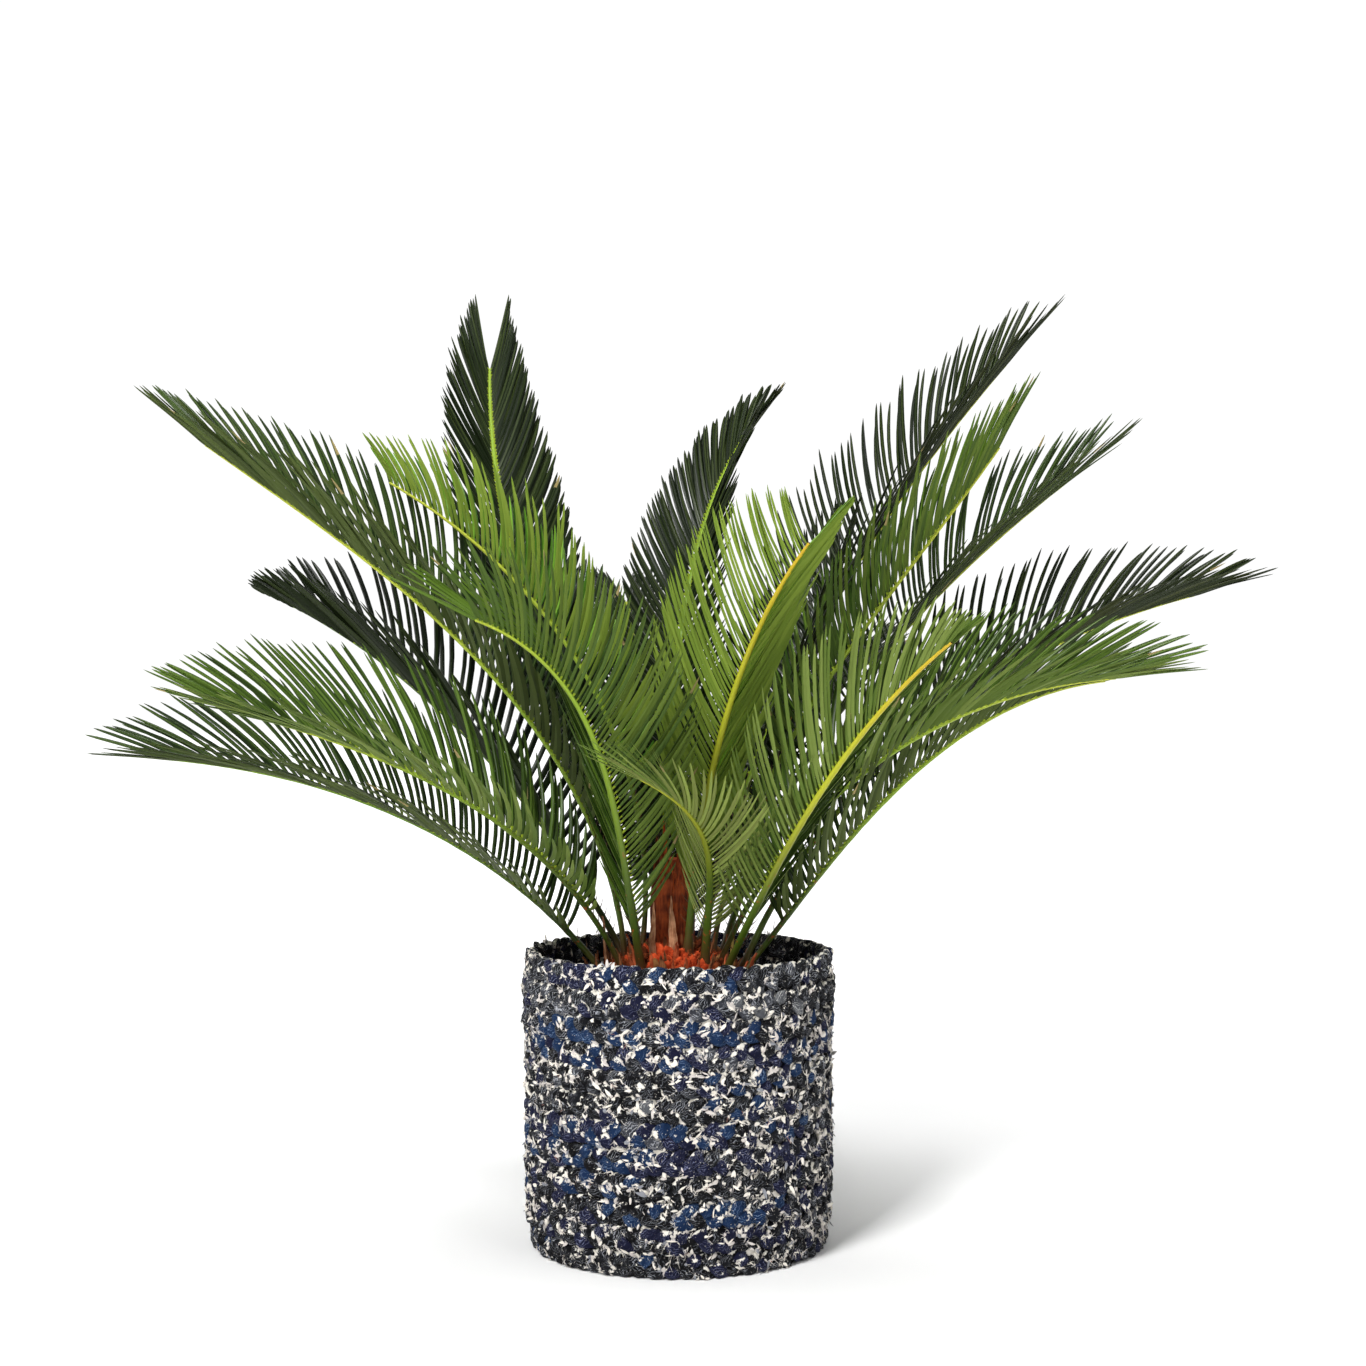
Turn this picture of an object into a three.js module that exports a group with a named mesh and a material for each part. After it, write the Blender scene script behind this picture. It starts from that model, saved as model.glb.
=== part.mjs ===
// Sago palm (Cycas revoluta): a knobbly caudex with a crown of pinnate fronds, planted in a plastic
// nursery pot that stands inside a basket of braided denim rags.
//
// Millimetres, +Z up. The origin is the centre of the basket's flat underside.

import * as THREE from "three";

// ---- basket: rows of flat braid coiled into a cylinder ----
const BASKET_HEIGHT = 208;
const BASKET_RIM_RADIUS = 112;
const BASKET_BODY_RADIUS = 110;
const BASKET_WALL = 14;
const BASKET_FLOOR = 12;
const BASKET_FOOT_RADIUS = 101;
const BASKET_ROUNDING = 5;
const BRAID_ROWS = 12;
const BRAID_GROOVE = 2.4;
const BASKET_SIDES = 36;

// ---- nursery pot and the soil in it ----
const SEAT_GAP = 0.3;
const POT_WALL = 1.6;
const POT_BASE_RADIUS = 66;
const POT_RIM_RADIUS = 86;
const POT_HEIGHT = 158;
const POT_LIP = 3;
const POT_LIP_HEIGHT = 12;
const SOIL_BELOW_POT_RIM = 16;
const SOIL_ROUNDING = 3;
const POT_SIDES = 32;

// ---- caudex: a squat trunk whose crown is a dome with a flat middle ----
const CROWN_TOP = 206;
const CROWN_FLAT_RADIUS = 16;
const CROWN_EDGE_RADIUS = 50;
const CROWN_DROP = 20;
const CROWN_SHAPE = 1.6;
const CROWN_RING_STEP = 6;
const CAUDEX_SHOULDER_RADIUS = 57;
const CAUDEX_SHOULDER_HEIGHT = 179;
const CAUDEX_BELLY_RADIUS = 59;
const CAUDEX_BELLY_HEIGHT = 173;
const CAUDEX_FOOT_RADIUS = 50;
const CAUDEX_SIDES = 28;
const CROWN_AXIS = new THREE.Vector3(-4, 0, 0);

// ---- crown bud: the sheath round the unopened leaves ----
const BUD_HEIGHT = 71;
const BUD_FOOT_RADIUS = 12;
const BUD_BELLY_RADIUS = 13.5;
const BUD_BELLY_AT = 0.3;
const BUD_SHOULDER_RADIUS = 11.5;
const BUD_SHOULDER_AT = 0.7;
const BUD_TOP_RADIUS = 6;
const BUD_SIDES = 14;

// ---- frond stems (ribs) ----
const RIB_STEPS = 90;
const RIB_HALF_WIDTH = 4.4;
const RIB_HALF_HEIGHT = 3.6;
const RIB_TIP_SHARE = 0.2;
const RIB_TAPER = 0.65;
const FOOT_FLARE = 1.3;
const FOOT_FLARE_LENGTH = 16;
const FOOT_GAP = 0.5;
const BARE_RINGS = 4;
const RIGHT_SIDE = 0;
const LEFT_SIDE = 2;

// ---- leaflets ----
const LEAFLET_PAIRS = 17;
const LEAFLET_ANGLE_FOOT = 78;
const LEAFLET_ANGLE_TIP = 18;
const LEAFLET_ANGLE_SHAPE = 1.3;
const LEAFLET_LENGTH_FOOT = 0.4;
const LEAFLET_LENGTH_TIP = 0.5;
const LEAFLET_LONGEST_AT = 0.4;
const LEAFLET_FORWARD_BEND = 0.45;
const LEAFLET_WIDTH = 9;
const LEAFLET_THICKNESS = 1.2;
const LEAFLET_WIDEST_AT = 0.42;
const LEAFLET_ROOT_HALF = 1.9;
const LEAFLET_GAP_SHARE = 0.62;

// ---- the space that solids, stems and leaflets keep for themselves ----
const SPACE_STEP = 2.6;
const SPACE_CELL = 6;
const SURFACE_REACH = 1;
const STEM_CLEARANCE = 0.4;
const LEAFLET_REACH = 1.75;
const SOLID_OWNER = -1;

// What a leaflet tries, in turn, when it would touch another frond: more or less lift in degrees,
// and a share of its length. If none is free, the leaflet is left out.
const LEAFLET_TRIES = [
  { lift: 0, share: 1 },
  { lift: 9, share: 1 },
  { lift: -9, share: 1 },
  { lift: 18, share: 1 },
  { lift: -18, share: 1 },
  { lift: 0, share: 0.75 },
  { lift: 14, share: 0.75 },
  { lift: -14, share: 0.75 },
  { lift: 0, share: 0.5 },
  { lift: 20, share: 0.5 },
];

// The fronds. heading is the direction that a frond leans to, in degrees from +X, and sway is how far
// it turns towards its tip. foot is the place of its stem on the crown, as [direction, radius].
// climb is its slope at foot, middle and tip. roll turns the blade about its stem, vee lifts its two
// rows of leaflets, leaflet is the length of the longest, tip is the share of it that the last ones
// keep, bare is the share of the stem without leaflets, and fold closes a row forwards.
const FROND_DEFAULTS = { sway: 0, roll: 0, tip: LEAFLET_LENGTH_TIP, fold: 1 };
const FRONDS = [
  { heading: 190, foot: [190, 48], length: 356, climb: [53.6, 26, 5], vee: 40, leaflet: 92, bare: 0.12,
    roll: -30 },
  { heading: 208, foot: [208, 40], length: 358, climb: [63.5, 29.6, 15], vee: 37, leaflet: 93, bare: 0.14,
    roll: -31, tip: 0.46 },
  { heading: 178, foot: [178, 34], length: 494, climb: [85.3, 45.8, 35], vee: 45, leaflet: 98, bare: 0.2,
    roll: -16, tip: 0.56 },
  { heading: 175, foot: [175, 22], length: 407, climb: [98, 60, 30], vee: 45, leaflet: 82, bare: 0.3,
    roll: 10, tip: 0.46 },
  { heading: 246, foot: [235, 38], length: 292, climb: [66, 67, 19], vee: 40, leaflet: 92, bare: 0.12,
    sway: -64, tip: 0.66 },
  { heading: 138, foot: [138, 28], length: 515, climb: [60, 62, 62], vee: 24, leaflet: 81, bare: 0.36,
    sway: -45, tip: 0.8 },
  { heading: 74, foot: [110, 24], length: 426, climb: [84, 74, 46], vee: 36, leaflet: 66, bare: 0.2,
    sway: -32, tip: 0.6 },
  { heading: 307, foot: [297, 23], length: 322, climb: [83.6, 66.9, 38.6], vee: 18, leaflet: 98, bare: 0.16,
    roll: -24, tip: 0.4, fold: 0.5 },
  { heading: 40, foot: [45, 46], length: 330, climb: [66, 68, 68], vee: 40, leaflet: 85, bare: 0.2 },
  { heading: 28, foot: [50, 30], length: 530, climb: [77, 57, 45.2], vee: 38, leaflet: 93, bare: 0.25,
    roll: 5, tip: 0.7 },
  { heading: 0, foot: [5, 28], length: 422, climb: [82, 56.4, 55], vee: 45, leaflet: 80, bare: 0.36,
    tip: 0.66 },
  { heading: 22, foot: [25, 38], length: 474, climb: [73.5, 48.7, 34.8], vee: 35, leaflet: 97, bare: 0.25,
    roll: 10, tip: 0.68 },
  { heading: 312, foot: [320, 46], length: 316, climb: [58.2, 49.5, 31.1], vee: 40, leaflet: 95, bare: 0.14,
    roll: 20, tip: 0.25 },
  { heading: 340, foot: [335, 36], length: 362, climb: [67, 36.2, 4], vee: 42, leaflet: 90, bare: 0.14,
    roll: 26, tip: 0.62 },
  { heading: 14, foot: [14, 50], length: 470, climb: [67, 36.2, 13.5], vee: 39, leaflet: 92, bare: 0.33,
    roll: 20, tip: 0.64 },
  { heading: 0, foot: [352, 48], length: 345, climb: [51, 44, 6], vee: 40, leaflet: 95, bare: 0.14,
    roll: 10, tip: 0.4 },
  { heading: 158, foot: [158, 36], length: 420, climb: [59.7, 41.6, 21.5], vee: 50, leaflet: 108, bare: 0.16,
    roll: -10, tip: 0.08, fold: 0.6 },
  { heading: 285, foot: [306, 38], length: 170, climb: [77.5, 55.7, 26.3], vee: 18, leaflet: 58, bare: 0.15,
    sway: -110, roll: 32, tip: 0.66, fold: 0.85 },
  { heading: 60, foot: [70, 44], length: 400, climb: [60, 36, 8], vee: 42, leaflet: 95, bare: 0.15 },
  { heading: 98, foot: [95, 42], length: 400, climb: [70, 44, 22], vee: 42, leaflet: 95, bare: 0.15 },
  { heading: 120, foot: [122, 44], length: 400, climb: [72, 50, 28], vee: 42, leaflet: 95, bare: 0.15 },
  { heading: 84, foot: [82, 54], length: 370, climb: [48, 24, 0], vee: 42, leaflet: 92, bare: 0.14 },
].map((frond) => ({ ...FROND_DEFAULTS, ...frond }));

// The dry scale leaves that stand round the petioles: direction, radius, height, lean and width.
const SCALES = [
  { direction: 170, radius: 44, height: 38, lean: 8, width: 9 },
  { direction: 178, radius: 56, height: 14, lean: 30, width: 8 },
  { direction: 237, radius: 24, height: 38, lean: -4, width: 6 },
  { direction: 268, radius: 22, height: 42, lean: -8, width: 7 },
  { direction: 338, radius: 54, height: 26, lean: 14, width: 10 },
  { direction: 357, radius: 38, height: 30, lean: 8, width: 7 },
  { direction: 32, radius: 56, height: 26, lean: 20, width: 10 },
  { direction: 60, radius: 56, height: 24, lean: 22, width: 10 },
  { direction: 82, radius: 31, height: 34, lean: 4, width: 8 },
  { direction: 108, radius: 56, height: 26, lean: 20, width: 10 },
  { direction: 140, radius: 56, height: 28, lean: 20, width: 10 },
  { direction: 165, radius: 56, height: 22, lean: 26, width: 9 },
  { direction: 205, radius: 57, height: 18, lean: 28, width: 9 },
  { direction: 222, radius: 56, height: 22, lean: 24, width: 9 },
  { direction: 262, radius: 46, height: 20, lean: 14, width: 9 },
  { direction: 290, radius: 56, height: 20, lean: 24, width: 9 },
];
const SCALE_THICKNESS = 2;

// Where a scale leaf's rings stand along it, with their share of its width and thickness.
const SCALE_RINGS = [
  { at: 0, width: 0.8, thickness: 1 },
  { at: 0.35, width: 1, thickness: 1 },
  { at: 0.7, width: 0.6, thickness: 0.8 },
];

const UP = new THREE.Vector3(0, 0, 1);

const finish = {
  braid: new THREE.MeshStandardMaterial({ color: 0x2b3040, roughness: 0.95, metalness: 0 }),
  plastic: new THREE.MeshStandardMaterial({ color: 0x17181a, roughness: 0.55, metalness: 0 }),
  soil: new THREE.MeshStandardMaterial({ color: 0x2c2019, roughness: 1, metalness: 0 }),
  caudex: new THREE.MeshStandardMaterial({ color: 0x6b3d24, roughness: 0.95, metalness: 0 }),
  bud: new THREE.MeshStandardMaterial({ color: 0x8a3f1c, roughness: 0.9, metalness: 0 }),
  scale: new THREE.MeshStandardMaterial({ color: 0x9a6a3f, roughness: 0.9, metalness: 0 }),
  frond: new THREE.MeshStandardMaterial({ color: 0x3f6a24, roughness: 0.5, metalness: 0 }),
};

const radians = THREE.MathUtils.degToRad;
const mix = THREE.MathUtils.lerp;

// A value that passes through three others at the foot, the middle and the tip of a frond.
function throughThree([foot, middle, tip], share) {
  const early = foot * (1 - share) * (1 - 2 * share);
  const late = tip * share * (2 * share - 1);
  return early + 4 * middle * share * (1 - share) + late;
}

function polar(direction, radius, height) {
  const turn = radians(direction);
  return new THREE.Vector3(radius * Math.cos(turn), radius * Math.sin(turn), height);
}

// Height of the caudex's crown at a distance from its axis.
function crownHeight(radius) {
  const share = Math.max(radius - CROWN_FLAT_RADIUS, 0) / (CROWN_EDGE_RADIUS - CROWN_FLAT_RADIUS);
  return CROWN_TOP - CROWN_DROP * share ** CROWN_SHAPE;
}

// How far a point stands above the caudex's crown.
function aboveCrown(point) {
  return point.z - crownHeight(Math.hypot(point.x - CROWN_AXIS.x, point.y - CROWN_AXIS.y));
}

function lathe(profile, sides) {
  const points = profile.map(([radius, height]) => new THREE.Vector2(radius, height));
  return new THREE.LatheGeometry(points, sides).rotateX(Math.PI / 2);
}

// ---- the pot and what is in it ----

function basketGeometry() {
  const rowHeight = BASKET_HEIGHT / BRAID_ROWS;
  const outside = [];
  for (let row = 0; row < BRAID_ROWS; row += 1) {
    if (row > 0) {
      outside.push([BASKET_BODY_RADIUS - BRAID_GROOVE, row * rowHeight]);
    }
    const crest = row === BRAID_ROWS - 1 ? BASKET_RIM_RADIUS : BASKET_BODY_RADIUS;
    outside.push([crest, (row + 0.5) * rowHeight]);
  }
  const inner = BASKET_BODY_RADIUS - BASKET_WALL;
  const rim = [
    [BASKET_RIM_RADIUS - BASKET_ROUNDING, BASKET_HEIGHT],
    [inner + BASKET_ROUNDING, BASKET_HEIGHT],
    [inner, BASKET_HEIGHT - BASKET_ROUNDING],
  ];
  const inside = [
    [inner, BASKET_FLOOR + BASKET_ROUNDING],
    [inner - BASKET_ROUNDING, BASKET_FLOOR],
    [0, BASKET_FLOOR],
  ];
  return lathe([[0, 0], [BASKET_FOOT_RADIUS, 0], ...outside, ...rim, ...inside], BASKET_SIDES);
}

const POT_FLOOR_HEIGHT = BASKET_FLOOR + SEAT_GAP;
const POT_RIM_HEIGHT = POT_FLOOR_HEIGHT + POT_HEIGHT;
const SOIL_TOP = POT_RIM_HEIGHT - SOIL_BELOW_POT_RIM;

// Outer radius of the nursery pot's tapering side at a height.
function potRadius(height) {
  return mix(POT_BASE_RADIUS, POT_RIM_RADIUS, (height - POT_FLOOR_HEIGHT) / POT_HEIGHT);
}

function nurseryPotGeometry() {
  const lipFoot = POT_RIM_HEIGHT - POT_LIP_HEIGHT;
  const floorTop = POT_FLOOR_HEIGHT + POT_WALL;
  return lathe([
    [0, POT_FLOOR_HEIGHT],
    [POT_BASE_RADIUS, POT_FLOOR_HEIGHT],
    [potRadius(lipFoot), lipFoot],
    [potRadius(lipFoot) + POT_LIP, lipFoot],
    [POT_RIM_RADIUS + POT_LIP, POT_RIM_HEIGHT],
    [POT_RIM_RADIUS - POT_WALL, POT_RIM_HEIGHT],
    [potRadius(floorTop) - POT_WALL, floorTop],
    [0, floorTop],
  ], POT_SIDES);
}

function soilGeometry() {
  const bottom = POT_FLOOR_HEIGHT + POT_WALL + SEAT_GAP;
  const shoulder = SOIL_TOP - SOIL_ROUNDING;
  const inset = POT_WALL + SEAT_GAP;
  return lathe([
    [0, bottom],
    [potRadius(bottom) - inset, bottom],
    [potRadius(shoulder) - inset, shoulder],
    [potRadius(shoulder) - inset - 2 * SOIL_ROUNDING, SOIL_TOP],
    [0, SOIL_TOP],
  ], POT_SIDES);
}

function caudexGeometry() {
  const foot = SOIL_TOP + SEAT_GAP;
  const profile = [
    [0, foot],
    [CAUDEX_FOOT_RADIUS, foot],
    [CAUDEX_BELLY_RADIUS, CAUDEX_BELLY_HEIGHT],
    [CAUDEX_SHOULDER_RADIUS, CAUDEX_SHOULDER_HEIGHT],
  ];
  const firstRing = CAUDEX_SHOULDER_RADIUS - CROWN_RING_STEP;
  for (let radius = firstRing; radius > CROWN_FLAT_RADIUS; radius -= CROWN_RING_STEP) {
    profile.push([radius, crownHeight(radius)]);
  }
  profile.push([CROWN_FLAT_RADIUS, CROWN_TOP], [0, CROWN_TOP]);
  return lathe(profile, CAUDEX_SIDES).translate(CROWN_AXIS.x, CROWN_AXIS.y, 0);
}

function budGeometry() {
  const foot = CROWN_TOP + SEAT_GAP;
  return lathe([
    [0, foot],
    [BUD_FOOT_RADIUS, foot],
    [BUD_BELLY_RADIUS, foot + BUD_BELLY_AT * BUD_HEIGHT],
    [BUD_SHOULDER_RADIUS, foot + BUD_SHOULDER_AT * BUD_HEIGHT],
    [BUD_TOP_RADIUS, foot + BUD_HEIGHT],
    [0, foot + BUD_HEIGHT],
  ], BUD_SIDES).translate(CROWN_AXIS.x, CROWN_AXIS.y, 0);
}

// ---- a closed mesh that grows ring by ring ----

class Skin {
  constructor() {
    this.points = [];
    this.faces = [];
  }

  add(point) {
    this.points.push(point);
    return this.points.length - 1;
  }

  quad(a, b, c, d) {
    this.faces.push(a, b, c, a, c, d);
  }

  triangle(a, b, c) {
    this.faces.push(a, b, c);
  }

  // Sides between two rings of the same number of points, seen anticlockwise from ahead.
  bridge(back, front) {
    back.forEach((corner, index) => {
      const next = (index + 1) % back.length;
      this.quad(corner, back[next], front[next], front[index]);
    });
  }

  // A point that closes a ring ahead of it.
  peak(ring, tip) {
    const end = this.add(tip);
    ring.forEach((corner, index) => this.triangle(corner, ring[(index + 1) % ring.length], end));
  }

  geometry() {
    const geometry = new THREE.BufferGeometry();
    const flat = this.points.flatMap((point) => point.toArray());
    geometry.setAttribute("position", new THREE.Float32BufferAttribute(flat, 3));
    geometry.setIndex(this.faces);
    geometry.computeVertexNormals();
    return geometry;
  }
}

// ---- scale leaves ----

// A flat pointed scale: rings of four corners, closed at its foot and drawn to one tip.
function scaleGeometry(scale) {
  const out = polar(scale.direction, 1, 0);
  const across = new THREE.Vector3().crossVectors(UP, out);
  const lean = radians(scale.lean);
  const along = out.clone().multiplyScalar(Math.sin(lean)).addScaledVector(UP, Math.cos(lean));
  const skin = new THREE.Vector3().crossVectors(across, along);
  const foot = polar(scale.direction, scale.radius, 0).add(CROWN_AXIS);
  const rings = SCALE_RINGS.map(({ at, width, thickness }) => {
    return [[-1, 1], [1, 1], [1, -1], [-1, -1]].map(([side, face]) => foot.clone()
      .addScaledVector(along, at * scale.height)
      .addScaledVector(across, 0.5 * side * width * scale.width)
      .addScaledVector(skin, 0.5 * face * thickness * SCALE_THICKNESS));
  });
  const tip = foot.clone().addScaledVector(along, scale.height);
  const lift = FOOT_GAP - Math.min(...rings[0].map(aboveCrown));
  [...rings.flat(), tip].forEach((point) => point.setZ(point.z + lift));
  const body = new Skin();
  const placed = rings.map((points) => points.map((point) => body.add(point)));
  body.quad(placed[0][3], placed[0][2], placed[0][1], placed[0][0]);
  placed.slice(1).forEach((ring, index) => body.bridge(placed[index], ring));
  body.peak(placed.at(-1), tip);
  return body.geometry();
}

// ---- fronds ----

// Points all over a triangle, no further apart than the space's step.
function triangleSamples([a, b, c]) {
  const longest = Math.max(a.distanceTo(b), b.distanceTo(c), c.distanceTo(a));
  const parts = Math.ceil(longest / SPACE_STEP);
  const samples = [];
  for (let i = 0; i <= parts; i += 1) {
    for (let j = 0; j <= parts - i; j += 1) {
      const point = a.clone().multiplyScalar((parts - i - j) / parts)
        .addScaledVector(b, i / parts).addScaledVector(c, j / parts);
      samples.push({ point, reach: SURFACE_REACH });
    }
  }
  return samples;
}

// The space that fronds already fill, as points with an owner and a reach, kept in cubic cells.
class Space {
  constructor() {
    this.cells = new Map();
  }

  static key(x, y, z) {
    return `${x},${y},${z}`;
  }

  static cell(value) {
    return Math.floor(value / SPACE_CELL);
  }

  // Takes the surface of a solid that leaflets keep clear of, from a height upwards.
  fillSolid(geometry, lowest) {
    const corners = geometry.getAttribute("position");
    const order = geometry.index.array;
    for (let start = 0; start < order.length; start += 3) {
      const triangle = [0, 1, 2].map((step) => {
        return new THREE.Vector3().fromBufferAttribute(corners, order[start + step]);
      });
      if (triangle.some((corner) => corner.z > lowest)) {
        this.fill(triangleSamples(triangle), SOLID_OWNER);
      }
    }
  }

  fill(samples, owner) {
    for (const { point, reach } of samples) {
      const key = Space.key(Space.cell(point.x), Space.cell(point.y), Space.cell(point.z));
      if (!this.cells.has(key)) {
        this.cells.set(key, []);
      }
      this.cells.get(key).push({ point, reach, owner });
    }
  }

  near(point) {
    const found = [];
    const [x, y, z] = point.toArray().map(Space.cell);
    for (let i = x - 1; i <= x + 1; i += 1) {
      for (let j = y - 1; j <= y + 1; j += 1) {
        for (let k = z - 1; k <= z + 1; k += 1) {
          found.push(...(this.cells.get(Space.key(i, j, k)) ?? []));
        }
      }
    }
    return found;
  }

  isFree(samples, owner) {
    return samples.every(({ point, reach }) => this.near(point).every(
      (other) => other.owner === owner || other.point.distanceTo(point) > other.reach + reach,
    ));
  }
}

// The stem of a frond: points and directions along it, from its foot on the crown to its tip.
class Stem {
  constructor(frond) {
    this.frond = frond;
    this.path = [polar(frond.foot[0], frond.foot[1], 0).add(CROWN_AXIS)];
    const step = frond.length / RIB_STEPS;
    for (let index = 0; index < RIB_STEPS; index += 1) {
      const ahead = this.along((index + 0.5) / RIB_STEPS);
      this.path.push(this.path[index].clone().addScaledVector(ahead, step));
    }
    const lift = FOOT_GAP - Math.min(...this.section(0).map(aboveCrown));
    this.path.forEach((point) => point.setZ(point.z + lift));
  }

  heading(share) {
    return this.frond.heading + this.frond.sway * share ** 2;
  }

  along(share) {
    const climb = radians(throughThree(this.frond.climb, share));
    return polar(this.heading(share), Math.cos(climb), Math.sin(climb));
  }

  at(share) {
    const place = Math.min(share, 1) * RIB_STEPS;
    const index = Math.min(Math.floor(place), RIB_STEPS - 1);
    return this.path[index].clone().lerp(this.path[index + 1], place - index);
  }

  // The stem's own directions: ahead, to its right and out of its upper face, with the roll.
  frame(share) {
    const ahead = this.along(share);
    const turn = radians(this.heading(share));
    const level = new THREE.Vector3(Math.sin(turn), -Math.cos(turn), 0);
    const upper = new THREE.Vector3().crossVectors(level, ahead);
    const roll = radians(this.frond.roll);
    const face = upper.clone().multiplyScalar(Math.cos(roll)).addScaledVector(level, Math.sin(roll));
    const right = level.clone().multiplyScalar(Math.cos(roll)).addScaledVector(upper, -Math.sin(roll));
    return { ahead, right, face };
  }

  halfSizes(share) {
    const slim = mix(1, RIB_TIP_SHARE, share ** RIB_TAPER);
    const flare = mix(FOOT_FLARE, 1, Math.min(1, share * this.frond.length / FOOT_FLARE_LENGTH));
    return { width: RIB_HALF_WIDTH * slim * flare, height: RIB_HALF_HEIGHT * slim * flare };
  }

  // Four corners: right upper, right lower, left lower, left upper.
  section(share) {
    const centre = this.at(share);
    const { right, face } = this.frame(share);
    const { width, height } = this.halfSizes(share);
    return [[1, 1], [1, -1], [-1, -1], [-1, 1]].map(([side, level]) => centre.clone()
      .addScaledVector(right, side * width)
      .addScaledVector(face, level * height));
  }

  samples() {
    const count = Math.ceil(this.frond.length / SPACE_STEP);
    return Array.from({ length: count + 1 }, (_, index) => {
      const { width, height } = this.halfSizes(index / count);
      return { point: this.at(index / count), reach: Math.hypot(width, height) + STEM_CLEARANCE };
    });
  }
}

// One leaflet: its middle line bends forwards from the stem, and its blade is widest near its middle.
class Leaflet {
  constructor(stem, order, side, trial) {
    const { frond } = stem;
    const share = (order + 0.5) / LEAFLET_PAIRS;
    const bladeLength = frond.length * (1 - frond.bare);
    this.stem = stem;
    this.side = side;
    this.rootShare = mix(frond.bare, 1, share);
    const fold = side < 0 ? frond.fold : 1;
    const open = mix(LEAFLET_ANGLE_FOOT, LEAFLET_ANGLE_TIP, share ** LEAFLET_ANGLE_SHAPE) * fold;
    const angle = radians(open);
    const lift = radians(frond.vee + trial.lift);
    const { ahead, right, face } = stem.frame(this.rootShare);
    this.ahead = ahead;
    this.face = face;
    this.out = ahead.clone().multiplyScalar(Math.cos(angle))
      .addScaledVector(right, side * Math.sin(angle) * Math.cos(lift))
      .addScaledVector(face, Math.sin(angle) * Math.sin(lift));
    this.length = frond.leaflet * Leaflet.lengthShare(share, frond.tip) * trial.share;
    const apart = (bladeLength / LEAFLET_PAIRS) * Math.sin(angle);
    this.halfWidth = 0.5 * Math.min(LEAFLET_WIDTH, LEAFLET_GAP_SHARE * apart);
  }

  static lengthShare(share, tip) {
    if (share < LEAFLET_LONGEST_AT) {
      return 1 - (1 - LEAFLET_LENGTH_FOOT) * (1 - share / LEAFLET_LONGEST_AT) ** 2;
    }
    const past = (share - LEAFLET_LONGEST_AT) / (1 - LEAFLET_LONGEST_AT);
    return 1 - (1 - tip) * past ** 2;
  }

  // A point on the middle line, which turns steadily towards the frond's tip.
  at(share) {
    const straight = this.out.clone().multiplyScalar(share * this.length);
    return this.stem.at(this.rootShare).add(straight)
      .addScaledVector(this.ahead, 0.5 * LEAFLET_FORWARD_BEND * this.length * share ** 2);
  }

  // The blade's directions: along it, across it and out of its upper face.
  frame(share) {
    const along = this.out.clone()
      .addScaledVector(this.ahead, LEAFLET_FORWARD_BEND * share).normalize();
    const across = this.ahead.clone().addScaledVector(along, -along.dot(this.ahead)).normalize();
    const upper = new THREE.Vector3().crossVectors(along, across).multiplyScalar(this.side);
    return { across, upper };
  }

  // Four corners, in the order of the stem's side that the leaflet grows from.
  section(share) {
    const centre = this.at(share);
    const { across, upper } = this.frame(share);
    return [[-1, 1], [-1, -1], [1, -1], [1, 1]].map(([step, level]) => centre.clone()
      .addScaledVector(across, step * this.halfWidth)
      .addScaledVector(upper, level * this.side * 0.5 * LEAFLET_THICKNESS));
  }

  samples() {
    const rows = Math.ceil(this.length / SPACE_STEP);
    const samples = [];
    for (let row = 1; row <= rows; row += 1) {
      const share = row / rows;
      const wide = share < LEAFLET_WIDEST_AT ? 1 : (1 - share) / (1 - LEAFLET_WIDEST_AT);
      const centre = this.at(share);
      const { across } = this.frame(share);
      const columns = Math.max(1, Math.ceil((2 * wide * this.halfWidth) / SPACE_STEP));
      for (let column = 0; column <= columns; column += 1) {
        const offset = wide * this.halfWidth * ((2 * column) / columns - 1);
        samples.push({ point: centre.clone().addScaledVector(across, offset), reach: LEAFLET_REACH });
      }
    }
    return samples;
  }
}

// The first form of a leaflet that is clear of the other fronds, or nothing.
function freeLeaflet(stem, order, side, space, owner) {
  for (const trial of LEAFLET_TRIES) {
    const leaflet = new Leaflet(stem, order, side, trial);
    const samples = leaflet.samples();
    if (space.isFree(samples, owner)) {
      space.fill(samples, owner);
      return leaflet;
    }
  }
  return null;
}

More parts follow.
